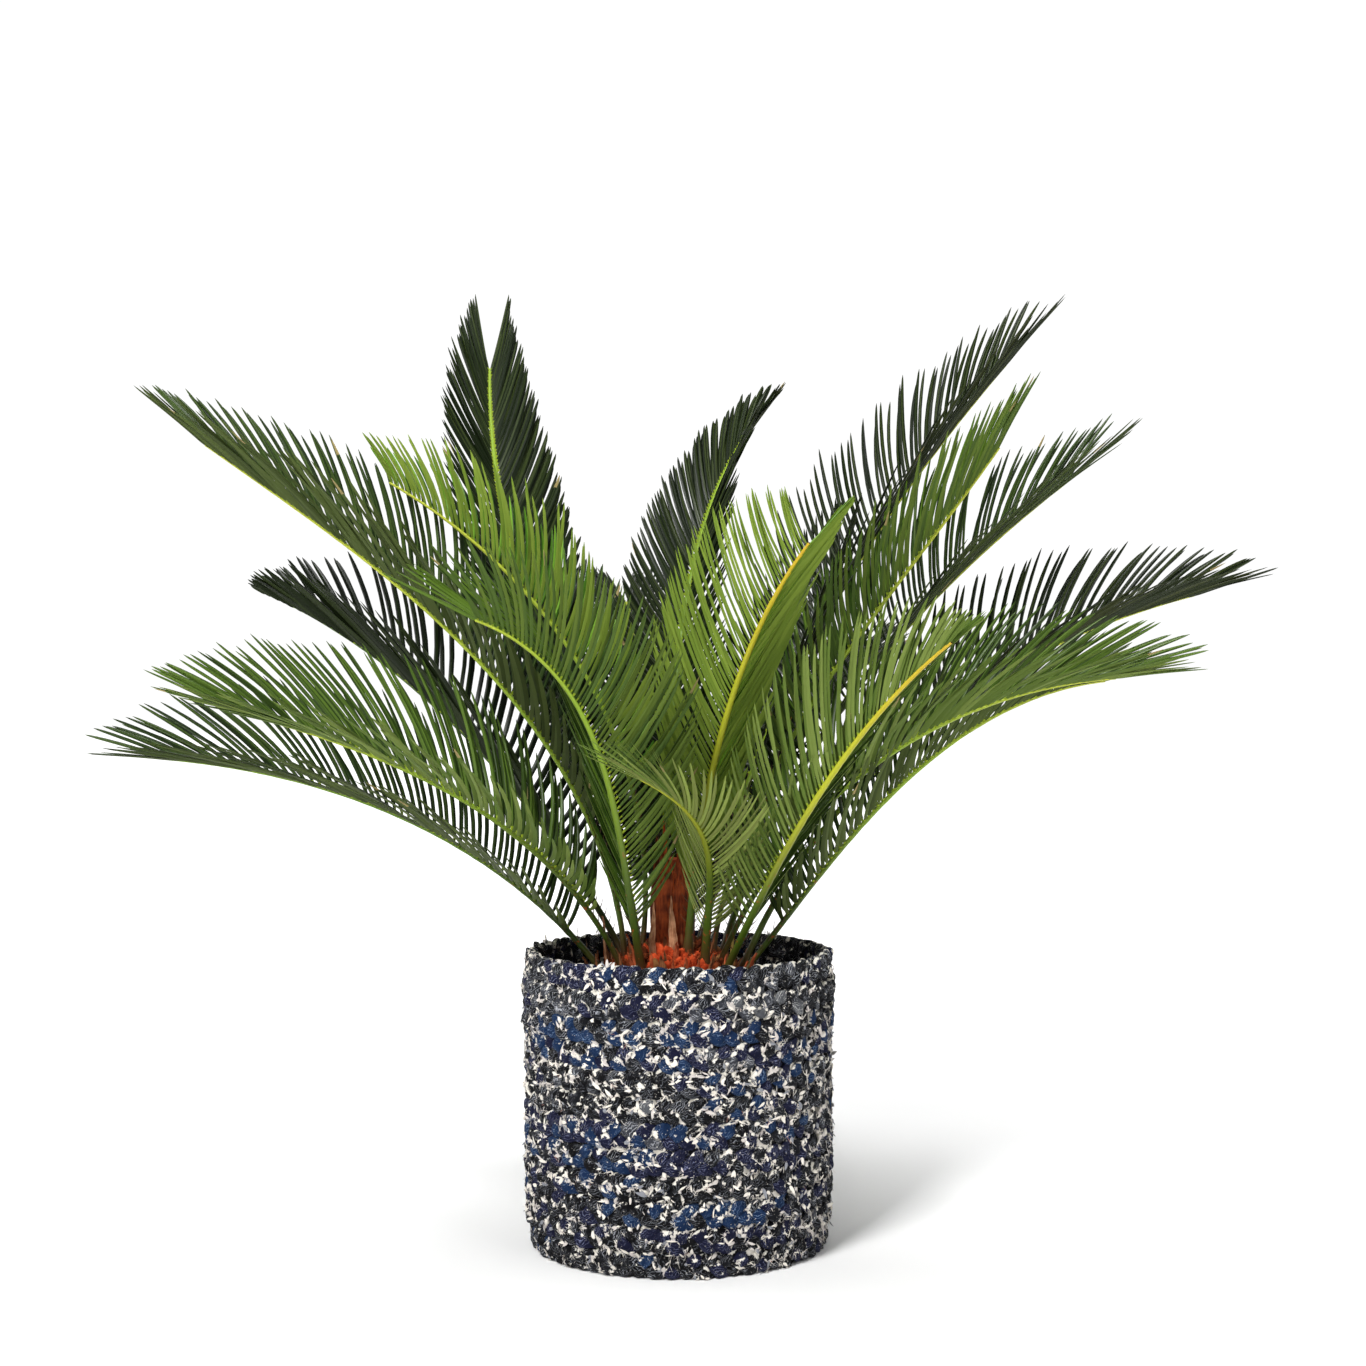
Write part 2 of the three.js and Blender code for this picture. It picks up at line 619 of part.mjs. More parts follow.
// A frond as one closed skin: a square stem whose side faces run out into leaflets.
function frondGeometry(stem, space, owner) {
  const { frond } = stem;
  const skin = new Skin();
  const placeRing = (share) => stem.section(share).map((point) => skin.add(point));

  // Joins two rings. A side of the stem that bears a leaflet runs out into it.
  const join = (back, front, leaflets = {}) => {
    back.forEach((corner, index) => {
      const next = (index + 1) % back.length;
      const side = [corner, back[next], front[next], front[index]];
      const leaflet = leaflets[index];
      if (leaflet) {
        const blade = leaflet.section(LEAFLET_WIDEST_AT).map((point) => skin.add(point));
        skin.bridge(side, blade);
        skin.peak(blade, leaflet.at(1));
      } else {
        skin.quad(...side);
      }
    });
  };

  let ring = placeRing(0);
  skin.quad(ring[3], ring[2], ring[1], ring[0]);
  const firstLeaf = frond.bare;
  for (let step = 1; step < BARE_RINGS; step += 1) {
    const next = placeRing((firstLeaf * step) / BARE_RINGS);
    join(ring, next);
    ring = next;
  }
  for (let order = 0; order < LEAFLET_PAIRS; order += 1) {
    const right = freeLeaflet(stem, order, 1, space, owner);
    const left = freeLeaflet(stem, order, -1, space, owner);
    const centre = mix(frond.bare, 1, (order + 0.5) / LEAFLET_PAIRS);
    const half = LEAFLET_ROOT_HALF / frond.length;
    const before = placeRing(centre - half);
    join(ring, before);
    const after = placeRing(centre + half);
    join(before, after, { [RIGHT_SIDE]: right, [LEFT_SIDE]: left });
    ring = after;
  }
  skin.peak(ring, stem.at(1));
  return skin.geometry();
}

function named(name, geometry, material) {
  const mesh = new THREE.Mesh(geometry, material);
  mesh.name = name;
  return mesh;
}

const twoDigits = (number) => String(number).padStart(2, "0");

const group = new THREE.Group();
group.add(named("basket", basketGeometry(), finish.braid));
group.add(named("nursery_pot", nurseryPotGeometry(), finish.plastic));
group.add(named("soil", soilGeometry(), finish.soil));
group.add(named("caudex", caudexGeometry(), finish.caudex));
group.add(named("crown_bud", budGeometry(), finish.bud));
SCALES.forEach((scale, index) => {
  group.add(named(`scale_leaf_${twoDigits(index + 1)}`, scaleGeometry(scale), finish.scale));
});

const space = new Space();
group.children.forEach((mesh) => space.fillSolid(mesh.geometry, CAUDEX_BELLY_HEIGHT));
const stems = FRONDS.map((frond) => new Stem(frond));
stems.forEach((stem, index) => space.fill(stem.samples(), index));
stems.forEach((stem, index) => {
  const geometry = frondGeometry(stem, space, index);
  group.add(named(`frond_${twoDigits(index + 1)}`, geometry, finish.frond));
});

export default group;
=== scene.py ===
"""Looks of a young sago palm in a plastic nursery pot, inside a basket of braided denim rags.

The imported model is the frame. The fronds grow by the rule of the part's source, with the true
number of leaflets, and the basket is braided strand by strand. Metres, +Z up.
"""

import logging
import math
from dataclasses import dataclass, field
from enum import Enum
from typing import Iterable, Optional, Sequence

import bmesh
import bpy
import numpy as np
from bmesh.types import BMesh
from bpy.types import Material, Mesh, Node, NodeSocket, NodeTree, Object, Scene
from mathutils import Matrix, Vector, noise
from mathutils.kdtree import KDTree
from numpy.random import Generator, default_rng


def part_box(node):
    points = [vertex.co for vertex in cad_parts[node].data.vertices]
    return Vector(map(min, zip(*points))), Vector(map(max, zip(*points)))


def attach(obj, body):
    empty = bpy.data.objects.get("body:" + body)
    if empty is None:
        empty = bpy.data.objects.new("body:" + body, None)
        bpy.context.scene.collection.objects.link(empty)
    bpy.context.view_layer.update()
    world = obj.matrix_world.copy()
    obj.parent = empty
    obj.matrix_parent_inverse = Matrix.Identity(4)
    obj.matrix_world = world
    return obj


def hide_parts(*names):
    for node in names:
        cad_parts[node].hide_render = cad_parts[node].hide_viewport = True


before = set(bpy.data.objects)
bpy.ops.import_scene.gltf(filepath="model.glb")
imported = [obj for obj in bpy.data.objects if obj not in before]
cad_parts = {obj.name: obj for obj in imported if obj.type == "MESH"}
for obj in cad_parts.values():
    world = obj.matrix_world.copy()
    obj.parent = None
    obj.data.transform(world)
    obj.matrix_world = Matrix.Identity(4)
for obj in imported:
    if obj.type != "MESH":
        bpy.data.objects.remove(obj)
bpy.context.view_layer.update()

LOG = logging.getLogger("sago_palm")
BODY = "root"
MM = 0.001
GOLDEN_ANGLE = math.radians(137.508)
UP = np.array([0.0, 0.0, 1.0])
Array = np.ndarray
Pair = tuple[float, float]


# ---------------- colours and nodes


def linear(hex_colour: str) -> tuple[float, float, float, float]:
    """Turns an sRGB hex colour to linear.

    Args:
        hex_colour: Six hex digits.

    Returns:
        Linear red, green and blue, and an alpha of one.
    """
    channels = [int(hex_colour[place:place + 2], 16) / 255 for place in (0, 2, 4)]
    red, green, blue = [
        value / 12.92 if value <= 0.04045 else ((value + 0.055) / 1.055) ** 2.4 for value in channels
    ]
    return red, green, blue, 1.0


def add_node(
    tree: NodeTree, kind: str, settings: Optional[dict] = None, inputs: Optional[dict] = None
) -> Node:
    """Adds a node with its settings and its links.

    Args:
        tree: The node tree that takes the node.
        kind: The node's type without its first two words, such as Bump.
        settings: Attributes of the node and their values.
        inputs: Sockets by name or index, each with a value, with the socket that feeds it, or with
            the node whose first output does.

    Returns:
        The new node.
    """
    node = tree.nodes.new(f"ShaderNode{kind}")
    for name, value in (settings or {}).items():
        setattr(node, name, value)
    for name, value in (inputs or {}).items():
        if isinstance(value, Node):
            value = value.outputs[0]
        if isinstance(value, NodeSocket):
            tree.links.new(value, node.inputs[name])
        else:
            node.inputs[name].default_value = value
    return node


def turned_colour(
    tree: NodeTree, value: object, limits: Pair, first: object, second: object
) -> NodeSocket:
    """Turns one colour into another while a value runs between two limits.

    Args:
        tree: The node tree.
        value: The value's socket or node.
        limits: The value where the first colour is whole, and where the second is.
        first: First colour, or the socket that gives it.
        second: Second colour, or the socket that gives it.

    Returns:
        The socket of the mixed colour.
    """
    low, high = limits
    share = add_node(tree, "MapRange", inputs={"Value": value, "From Min": low, "From Max": high})
    return add_node(tree, "Mix", {"data_type": "RGBA"}, {0: share, 6: first, 7: second}).outputs[2]


# ---------------- finishes


class Finish:
    """A real surface, which a Principled shader stands for."""

    name: str

    def sockets(self, tree: NodeTree) -> dict:
        """Works out the shader's sockets.

        Args:
            tree: The material's tree.

        Returns:
            The shader's sockets by name.
        """
        raise NotImplementedError

    def material(self) -> Material:
        """Returns the finish's material."""
        material = bpy.data.materials.new(self.name)
        material.use_nodes = True
        tree = material.node_tree
        tree.nodes.clear()
        shader = add_node(tree, "BsdfPrincipled", inputs=self.sockets(tree))
        add_node(tree, "OutputMaterial", inputs={"Surface": shader})
        return material


@dataclass(frozen=True)
class LeafCuticle(Finish):
    """Waxy cuticle of a leaflet. It gives plain green with a satin gloss, dealt out by leaflet."""

    name: str
    colour: str
    roughness: float
    gloss: float
    ior: float = 1.42

    def sockets(self, tree: NodeTree) -> dict:
        """Returns a plain colour and the wax's gloss."""
        return {
            "Base Color": linear(self.colour),
            "Roughness": self.roughness,
            "IOR": self.ior,
            "Specular IOR Level": self.gloss,
        }


@dataclass(frozen=True)
class StalkSkin(Finish):
    """Smooth rachis skin. It gives green that yellows along the stalk and rust flecks at its foot."""

    name: str
    low_colour: str
    colour: str
    tip_colour: str
    foot_colour: str = "4a3018"
    fleck_colour: str = "8a4420"
    low_limits: Pair = (0.06, 0.17)
    tip_limits: Pair = (0.2, 0.36)
    foot_limits: Pair = (0.03, 0.003)
    flecked_limits: Pair = (0.12, 0.05)
    fleck_limits: Pair = (0.64, 0.69)
    fleck_size_mm: float = 4.0
    streak_mm: float = 0.5

    def sockets(self, tree: NodeTree) -> dict:
        """Changes the colour by metres along the stalk, which the UV map holds, under fine streaks.

        Args:
            tree: The material's tree.

        Returns:
            The shader's sockets by name.
        """
        along = add_node(tree, "SeparateXYZ", inputs={0: add_node(tree, "UVMap")}).outputs["X"]
        spot = add_node(tree, "TexCoord").outputs["Object"]
        scale = 1 / (self.fleck_size_mm * MM)
        flecks = add_node(tree, "TexNoise", inputs={"Vector": spot, "Scale": scale, "Detail": 3.0})
        skin: object = linear(self.low_colour)
        for limits, colour in (
            (self.low_limits, self.colour),
            (self.tip_limits, self.tip_colour),
            (self.foot_limits, self.foot_colour),
        ):
            skin = turned_colour(tree, along, limits, skin, linear(colour))
        flecked = turned_colour(tree, flecks, self.fleck_limits, skin, linear(self.fleck_colour))
        bump = {"Height": flecks, "Strength": 0.2, "Distance": self.streak_mm * MM}
        return {
            "Base Color": turned_colour(tree, along, self.flecked_limits, skin, flecked),
            "Roughness": 0.45,
            "IOR": 1.42,
            "Specular IOR Level": 0.35,
            "Normal": add_node(tree, "Bump", inputs=bump),
        }


@dataclass(frozen=True)
class DenimRag(Finish):
    """Torn strip of worn denim. It gives dyed warp, pale weft lines and raw white cotton at its edge.

    The weft lines are 0.9 mm apart on the real cloth and are drawn 1.5 mm apart, so that they show.
    """

    name: str
    ground: str
    weft: str
    weft_share: float
    girth_mm: float
    edge: str = "e2ddd3"
    edge_limits: Pair = (2.72, 2.92)
    edge_pull: float = 0.5
    clump_pull: float = 3.2
    lint_pull: float = 1.1
    stray_limits: Pair = (0.68, 0.76)
    wear_limits: Pair = (0.4, 0.6)
    weft_pitch_mm: float = 1.5
    weft_slant: float = 0.5
    weft_sway_mm: float = 6.0
    crease_mm: float = 4.0
    wear_mm: float = 7.0
    clump_mm: float = 5.5
    lint_mm: float = 1.1
    fold_mm: float = 2.0
    weave_mm: float = 0.3

    def raw_edge(self, tree: NodeTree, around: object, clumps: object, lint: object) -> object:
        """Finds the raw cotton, in ragged patches towards one edge of the strip, and its stray lint.

        Args:
            tree: The material's tree.
            around: Place round the strip, in metres.
            clumps: Coarse noise.
            lint: Fine noise.

        Returns:
            The node of the raw cotton's share.
        """
        turns = {0: around, 1: math.tau / (self.girth_mm * MM)}
        angle = add_node(tree, "Math", {"operation": "MULTIPLY"}, turns)
        near = add_node(tree, "Math", {"operation": "COSINE"}, {0: angle})
        total: object = 0.0
        for value, pull in ((near, self.edge_pull), (clumps, self.clump_pull), (lint, self.lint_pull)):
            total = add_node(tree, "Math", {"operation": "MULTIPLY_ADD"}, {0: value, 1: pull, 2: total})
        patches, strays = [
            add_node(tree, "MapRange", inputs={"Value": value, "From Min": low, "From Max": high})
            for value, (low, high) in ((total, self.edge_limits), (lint, self.stray_limits))
        ]
        return add_node(tree, "Math", {"operation": "MAXIMUM"}, {0: patches, 1: strays})

    def sockets(self, tree: NodeTree) -> dict:
        """Draws the weft over the ground. The UV map runs along and round the strip in metres.

        Args:
            tree: The material's tree.

        Returns:
            The shader's sockets by name.
        """
        place = add_node(tree, "SeparateXYZ", inputs={0: add_node(tree, "UVMap")})
        along, around = place.outputs["X"], place.outputs["Y"]
        spot = add_node(tree, "TexCoord").outputs["Object"]
        wear, crease, clumps, lint = [
            add_node(tree, "TexNoise", inputs={"Vector": spot, "Scale": 1 / (size * MM), "Detail": detail})
            for size, detail in (
                (self.wear_mm, 4.0), (self.crease_mm, 2.0), (self.clump_mm, 1.0), (self.lint_mm, 2.0)
            )
        ]
        bent: object = around
        for value, weight in ((along, self.weft_slant), (crease, self.weft_sway_mm * MM)):
            bent = add_node(tree, "Math", {"operation": "MULTIPLY_ADD"}, {0: value, 1: weight, 2: bent})
        turns = {0: bent, 1: math.tau / (self.weft_pitch_mm * MM)}
        phase = add_node(tree, "Math", {"operation": "MULTIPLY"}, turns)
        wave = add_node(tree, "Math", {"operation": "SINE"}, {0: phase})
        ground, weft = linear(self.ground), linear(self.weft)
        lined = turned_colour(tree, wave, (1 - 2 * self.weft_share, 1.0), ground, weft)
        cloth = turned_colour(tree, wear, self.wear_limits, ground, lined)
        raw = self.raw_edge(tree, around, clumps, lint)
        folds = {"Height": crease, "Strength": 0.7, "Distance": self.fold_mm * MM}
        weave = {
            "Height": add_node(tree, "Math", {"operation": "ADD"}, {0: crease, 1: wave}),
            "Strength": 0.3,
            "Distance": self.weave_mm * MM,
            "Normal": add_node(tree, "Bump", inputs=folds),
        }
        return {
            "Base Color": turned_colour(tree, raw, (0.0, 1.0), cloth, linear(self.edge)),
            "Roughness": 0.95,
            "Specular IOR Level": 0.15,
            "Normal": add_node(tree, "Bump", inputs=weave),
        }


@dataclass(frozen=True)
class CottonThread(Finish):
    """Frayed raw cotton, or hair as fine. It gives matt, slightly linty thread in one colour."""

    name: str
    colour: str

    def sockets(self, tree: NodeTree) -> dict:
        """Returns a plain, matt colour."""
        return {"Base Color": linear(self.colour), "Roughness": 0.95, "Specular IOR Level": 0.15}


@dataclass(frozen=True)
class FibrousHusk(Finish):
    """Dry scale, sheath or bark. It gives matt, mottled tissue with long fibres up its length."""

    name: str
    low: str
    high: str
    grain_mm: float = 1.6
    mottle_share: float = 6.0
    stretch: float = 0.12
    limits: Pair = (0.75, 1.3)
    relief_mm: float = 0.5

    def sockets(self, tree: NodeTree) -> dict:
        """Mottles the husk and draws its grain out upwards.

        Args:
            tree: The material's tree.

        Returns:
            The shader's sockets by name.
        """
        spot = add_node(tree, "TexCoord").outputs["Object"]
        drawn = add_node(tree, "Mapping", inputs={"Vector": spot, "Scale": (1.0, 1.0, self.stretch)})
        scale = 1 / (self.grain_mm * MM)
        grain = add_node(tree, "TexNoise", inputs={"Vector": drawn, "Scale": scale, "Detail": 5.0})
        mottle = add_node(tree, "TexNoise", inputs={"Vector": spot, "Scale": scale / self.mottle_share})
        mixed = add_node(tree, "Math", {"operation": "ADD"}, {0: grain, 1: mottle})
        bump = {"Height": grain, "Strength": 0.7, "Distance": self.relief_mm * MM}
        return {
            "Base Color": turned_colour(tree, mixed, self.limits, linear(self.low), linear(self.high)),
            "Roughness": 0.85,
            "Specular IOR Level": 0.2,
            "Normal": add_node(tree, "Bump", inputs=bump),
        }


@dataclass(frozen=True)
class WoollyFelt(Finish):
    """Rust tomentum of the crown. It gives a felt of short hair, bright where it is young, and brighter on
    the front side as painted light.
    """

    name: str
    low: str
    high: str
    clump_mm: float = 5.0
    hair_share: float = 0.25
    limits: Pair = (0.35, 0.65)
    relief_mm: float = 0.8

    def sockets(self, tree: NodeTree) -> dict:
        """Shows the felt's clumps in colour and its hair in relief.

        Args:
            tree: The material's tree.

        Returns:
            The shader's sockets by name.
        """
        spot = add_node(tree, "TexCoord").outputs["Object"]
        scale = 1 / (self.clump_mm * MM)
        clump = add_node(tree, "TexNoise", inputs={"Vector": spot, "Scale": scale, "Detail": 6.0})
        hair = add_node(tree, "TexNoise", inputs={"Vector": spot, "Scale": scale / self.hair_share})
        bump = {"Height": hair, "Strength": 0.8, "Distance": self.relief_mm * MM}
        return {
            "Base Color": turned_colour(tree, clump, self.limits, linear(self.low), linear(self.high)),
            "Roughness": 0.95,
            "Specular IOR Level": 0.1,
            "Normal": add_node(tree, "Bump", inputs=bump),
        }


@dataclass(frozen=True)
class BlownPolypropylene(Finish):
    """Blown black polypropylene. It gives a satin sheen with faint draw lines up the pot."""

    name: str = "blown_polypropylene"
    colour: str = "1b1c1e"
    line_mm: float = 2.5
    stretch: float = 0.05
    sheen_limits: Pair = (-0.6, 1.6)
    relief_mm: float = 0.4

    def sockets(self, tree: NodeTree) -> dict:
        """Shows the draw lines in the gloss and in relief.

        Args:
            tree: The material's tree.

        Returns:
            The shader's sockets by name.
        """
        spot = add_node(tree, "TexCoord").outputs["Object"]
        drawn = add_node(tree, "Mapping", inputs={"Vector": spot, "Scale": (1.0, 1.0, self.stretch)})
        lines = add_node(tree, "TexNoise", inputs={"Vector": drawn, "Scale": 1 / (self.line_mm * MM)})
        low, high = self.sheen_limits
        sheen = {"Value": lines, "From Min": low, "From Max": high}
        bump = {"Height": lines, "Strength": 0.2, "Distance": self.relief_mm * MM}
        return {
            "Base Color": linear(self.colour),
            "Roughness": add_node(tree, "MapRange", inputs=sheen),
            "Normal": add_node(tree, "Bump", inputs=bump),
        }


@dataclass(frozen=True)
class DampPeat(Finish):
    """Damp bark and peat. It gives dark crumbs with paler fibres."""

    name: str
    low: str
    high: str
    crumb_mm: float = 4.0
    fibre_share: float = 0.5
    limits: Pair = (0.4, 0.7)
    relief_mm: float = 1.5

    def sockets(self, tree: NodeTree) -> dict:
        """Shows the crumbs in relief and the fibres in colour.

        Args:
            tree: The material's tree.

        Returns:
            The shader's sockets by name.
        """
        spot = add_node(tree, "TexCoord").outputs["Object"]
        scale = 1 / (self.crumb_mm * MM)
        crumbs = add_node(tree, "TexVoronoi", inputs={"Vector": spot, "Scale": scale})
        fibre = add_node(tree, "TexNoise", inputs={"Vector": spot, "Scale": scale / self.fibre_share})
        bump = {"Height": crumbs.outputs["Distance"], "Strength": 0.8, "Distance": self.relief_mm * MM}
        return {
            "Base Color": turned_colour(tree, fibre, self.limits, linear(self.low), linear(self.high)),
            "Roughness": 0.9,
            "Normal": add_node(tree, "Bump", inputs=bump),
        }


@dataclass(frozen=True)
class PaleFloor(Finish):
    """Matt white studio floor. Its glow, past the basket, keeps it white to the horizon."""

    name: str = "pale_floor"
    colour: str = "fdfdfd"
    glow_limits: Pair = (0.5, 3.5)

    def sockets(self, tree: NodeTree) -> dict:
        """Makes the floor glow by metres from its middle.

        Args:
            tree: The material's tree.

        Returns:
            The shader's sockets by name.
        """
        spot = add_node(tree, "TexCoord").outputs["Object"]
        apart = add_node(tree, "VectorMath", {"operation": "LENGTH"}, {0: spot}).outputs["Value"]
        low, high = self.glow_limits
        glow = {"Value": apart, "From Min": low, "From Max": high}
        return {
            "Base Color": linear(self.colour),
            "Roughness": 1.0,
            "Specular IOR Level": 0.0,
            "Emission Color": (1.0, 1.0, 1.0, 1.0),
            "Emission Strength": add_node(tree, "MapRange", inputs=glow),
        }


# ---------------- meshes


def unit(vectors: Array) -> Array:
    """Scales vectors to a length of one."""
    return vectors / np.maximum(np.linalg.norm(vectors, axis=-1, keepdims=True), 1e-12)


def across_of(along: Array) -> Array:
    """Finds a unit vector square to each direction, and level where the direction isn't upright."""
    level = np.cross(UP, along)
    short = np.linalg.norm(level, axis=-1, keepdims=True) < 1e-3
    return unit(np.where(short, np.array([1.0, 0.0, 0.0]), level))


def polar(direction: float, radius: float, height: float) -> Array:
    """Gives a point by its direction from the axis in degrees, its radius and its height."""
    turn = math.radians(direction)
    return np.array([radius * math.cos(turn), radius * math.sin(turn), height])


def placed(mesh: Mesh, materials: Sequence[Material], sharp: float) -> Object:
    """Gives a mesh its sharp edges, its materials and an object of its own name.

    Args:
        mesh: The mesh, with smooth faces.
        materials: The materials that its faces count into.
        sharp: Angle in degrees past which an edge is sharp.

    Returns:
        The object, linked to the scene.
    """
    mesh.set_sharp_from_angle(angle=math.radians(sharp))
    for material in materials:
        mesh.materials.append(material)
    piece = bpy.data.objects.new(mesh.name, mesh)
    bpy.context.scene.collection.objects.link(piece)
    return piece


class JoinedMesh:
    """Many small closed forms gathered into one mesh from arrays."""

    def __init__(self) -> None:
        """Starts with no forms."""
        self.points: list[Array] = []
        self.faces: list[Array] = []
        self.tones: list[Array] = []
        self.maps: list[Array] = []
        self.count = 0

    def add_faces(self, faces: Array, tones: Array, maps: Optional[Array]) -> None:
        """Adds faces that all have the same number of corners.

        Args:
            faces: Corner numbers, one row for each face.
            tones: Material index of each face.
            maps: UV place of each corner of each face, or nothing.
        """
        corners = faces.shape[-1]
        flat = faces.reshape(-1, corners)
        self.faces.append(flat)
        self.tones.append(np.broadcast_to(tones, faces.shape[:-1]).reshape(-1))
        if maps is None:
            maps = np.zeros((len(flat), corners, 2))
        self.maps.append(maps.reshape(-1, 2))

    def add_tubes(
        self,
        rings: Array,
        tones: Array,
        along: Optional[Array] = None,
        around: Optional[Array] = None,
        flip: bool = False,
        closed_loop: bool = False,
    ) -> None:
        """Adds tubes that are closed at both ends, or that run into themselves.

        Args:
            rings: Points, as tube, ring, corner and axis. Corners run anticlockwise seen from ahead.
            tones: Material index, broadcast over tube, stretch and side.
            along: Length along each tube at each ring, for the UV map.
            around: Length round the tube at each corner and back at the first.
            flip: Whether the corners run clockwise instead.
            closed_loop: Whether the last ring joins the first.
        """
        tubes, count, corners, _ = rings.shape
        numbers = self.count + np.arange(tubes * count * corners).reshape(tubes, count, corners)
        self.points.append(rings.reshape(-1, 3))
        self.count += tubes * count * corners
        last = count if closed_loop else count - 1
        back = numbers[:, :last]
        front = np.roll(numbers, -1, axis=1)[:, :last]
        quads = np.stack([back, np.roll(back, -1, axis=2), np.roll(front, -1, axis=2), front], axis=-1)
        maps = None
        if along is not None and around is not None:
            begin = np.broadcast_to(along[:, :last, None], back.shape)
            end = np.broadcast_to(along[:, 1:last + 1, None], back.shape)
            low = np.broadcast_to(around[:-1], back.shape)
            high = np.broadcast_to(around[1:], back.shape)
            maps = np.stack([
                np.stack([begin, low], -1),
                np.stack([begin, high], -1),
                np.stack([end, high], -1),
                np.stack([end, low], -1),
            ], axis=-2)
        if flip:
            quads = quads[..., ::-1]
            maps = maps[..., ::-1, :] if maps is not None else None
        self.add_faces(quads, tones, maps)
        if not closed_loop:
            ends = [numbers[:, 0, ::-1], numbers[:, -1]]
            shades = np.broadcast_to(tones, quads.shape[:-1])
            for ring, shade in zip(ends, (shades[:, 0, 0], shades[:, -1, 0])):
                self.add_faces(ring[:, ::-1] if flip else ring, shade, None)

    def piece(self, name: str, materials: Sequence[Material], sharp: float) -> Object:
        """Makes the mesh and its object.

        Args:
            name: The piece's name.
            materials: The materials that the tones count into.
            sharp: Angle in degrees past which an edge is sharp.

        Returns:
            The object, linked to the scene.
        """
        mesh = bpy.data.meshes.new(name)
        points = np.concatenate(self.points)
        loops = np.concatenate([faces.reshape(-1) for faces in self.faces])
        totals = np.concatenate([np.full(len(faces), faces.shape[1]) for faces in self.faces])
        mesh.vertices.add(len(points))
        mesh.vertices.foreach_set("co", points.astype(np.float32).reshape(-1))
        mesh.loops.add(len(loops))
        mesh.loops.foreach_set("vertex_index", loops.astype(np.int32))
        mesh.polygons.add(len(totals))
        starts = np.concatenate([[0], np.cumsum(totals)[:-1]])
        mesh.polygons.foreach_set("loop_start", starts.astype(np.int32))
        mesh.polygons.foreach_set("material_index", np.concatenate(self.tones).astype(np.int32))
        mesh.polygons.foreach_set("use_smooth", np.ones(len(totals), bool))
        layer = mesh.uv_layers.new(name="UVMap")
        layer.data.foreach_set("uv", np.concatenate(self.maps).astype(np.float32).reshape(-1))
        mesh.update(calc_edges=True)
        mesh.validate()
        return placed(mesh, materials, sharp)


def bmesh_piece(name: str, form: BMesh, materials: Sequence[Material], sharp: float = 40.0) -> Object:
    """Makes an object of a bmesh, with smooth faces and sharp edges past an angle.

    Args:
        name: The piece's name.
        form: The bmesh, which is freed.
        materials: The piece's materials.
        sharp: Angle in degrees past which an edge is sharp.

    Returns:
        The object, linked to the scene.
    """
    mesh = bpy.data.meshes.new(name)
    for face in form.faces:
        face.smooth = True
    form.to_mesh(mesh)
    form.free()
    return placed(mesh, materials, sharp)


def spun(profile: Iterable[Pair], axis: Array, steps: int) -> BMesh:
    """Spins a profile round an upright axis to a closed form.

    Args:
        profile: Radius and height of each corner, from the axis back to the axis.
        axis: Where the axis stands.
        steps: Number of steps in the turn.

    Returns:
        The form, with its faces outwards.
    """
    form = bmesh.new()
    corners = [form.verts.new((axis[0] + radius, axis[1], height)) for radius, height in profile]
    edges = [form.edges.new(pair) for pair in zip(corners, corners[1:])]
    bmesh.ops.spin(
        form,
        geom=corners + edges,
        cent=(axis[0], axis[1], 0.0),
        axis=(0.0, 0.0, 1.0),
        angle=math.tau,
        steps=steps,
        use_merge=True,
    )
    bmesh.ops.remove_doubles(form, verts=form.verts[:], dist=1e-6)
    bmesh.ops.recalc_face_normals(form, faces=form.faces[:])
    return form


def report(piece: Object, replaced: Sequence[str]) -> None:
    """Puts a piece on the body, hides the CAD nodes that it stands for, and logs it.

    Args:
        piece: The finished piece.
        replaced: CAD nodes that the piece stands for.
    """
    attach(piece, BODY)
    if replaced:
        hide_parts(*replaced)
    triangles = sum(len(face.vertices) - 2 for face in piece.data.polygons)
    LOG.info("%s: %d triangles", piece.name, triangles)


# ---------------- the trunk's crown


@dataclass(frozen=True)
class CrownDome:
    """The top of the caudex, which the stems stand on."""

    axis: Array
    top: float
    flat_radius: float = 16 * MM
    edge_radius: float = 50 * MM
    drop: float = 20 * MM
    shape: float = 1.6

    @classmethod
    def from_frame(cls) -> "CrownDome":
        """Reads the dome's place from the caudex."""
        low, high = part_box("caudex")
        centre = (low + high) / 2
        return cls(axis=np.array([centre.x, centre.y, 0.0]), top=high.z)

    def height(self, radius: Array) -> Array:
        """Gives the dome's height at a distance from its axis."""
        share = np.maximum(radius - self.flat_radius, 0.0) / (self.edge_radius - self.flat_radius)
        return self.top - self.drop * share**self.shape

    def above(self, points: Array) -> Array:
        """Gives how far points stand above the dome."""
        apart = points[..., :2] - self.axis[:2]
        return points[..., 2] - self.height(np.linalg.norm(apart, axis=-1))


# ---------------- fronds


class Tone(Enum):
    """Greens of a frond: three for the upper side and two for the under side."""

    BRIGHT = ("50761a", "638b28", "32560f", "748934", "657b2c")
    FRESH = ("394e16", "48601c", "24380d", "536529", "455927")
    MID = ("40561e", "4f6626", "2a3c12", "637336", "4f6128")
    DEEP = ("2c3d19", "384a1f", "1a270f", "465229", "36411d")
    DARK = ("202a12", "2c3618", "121b0a", "33391e", "262d1a")
    SHADE = ("141d0b", "1c280f", "0b1207", "222b13", "161e0c")
    OLIVE = ("566c2c", "697f3a", "3a4c1e", "7a8844", "6a743c")


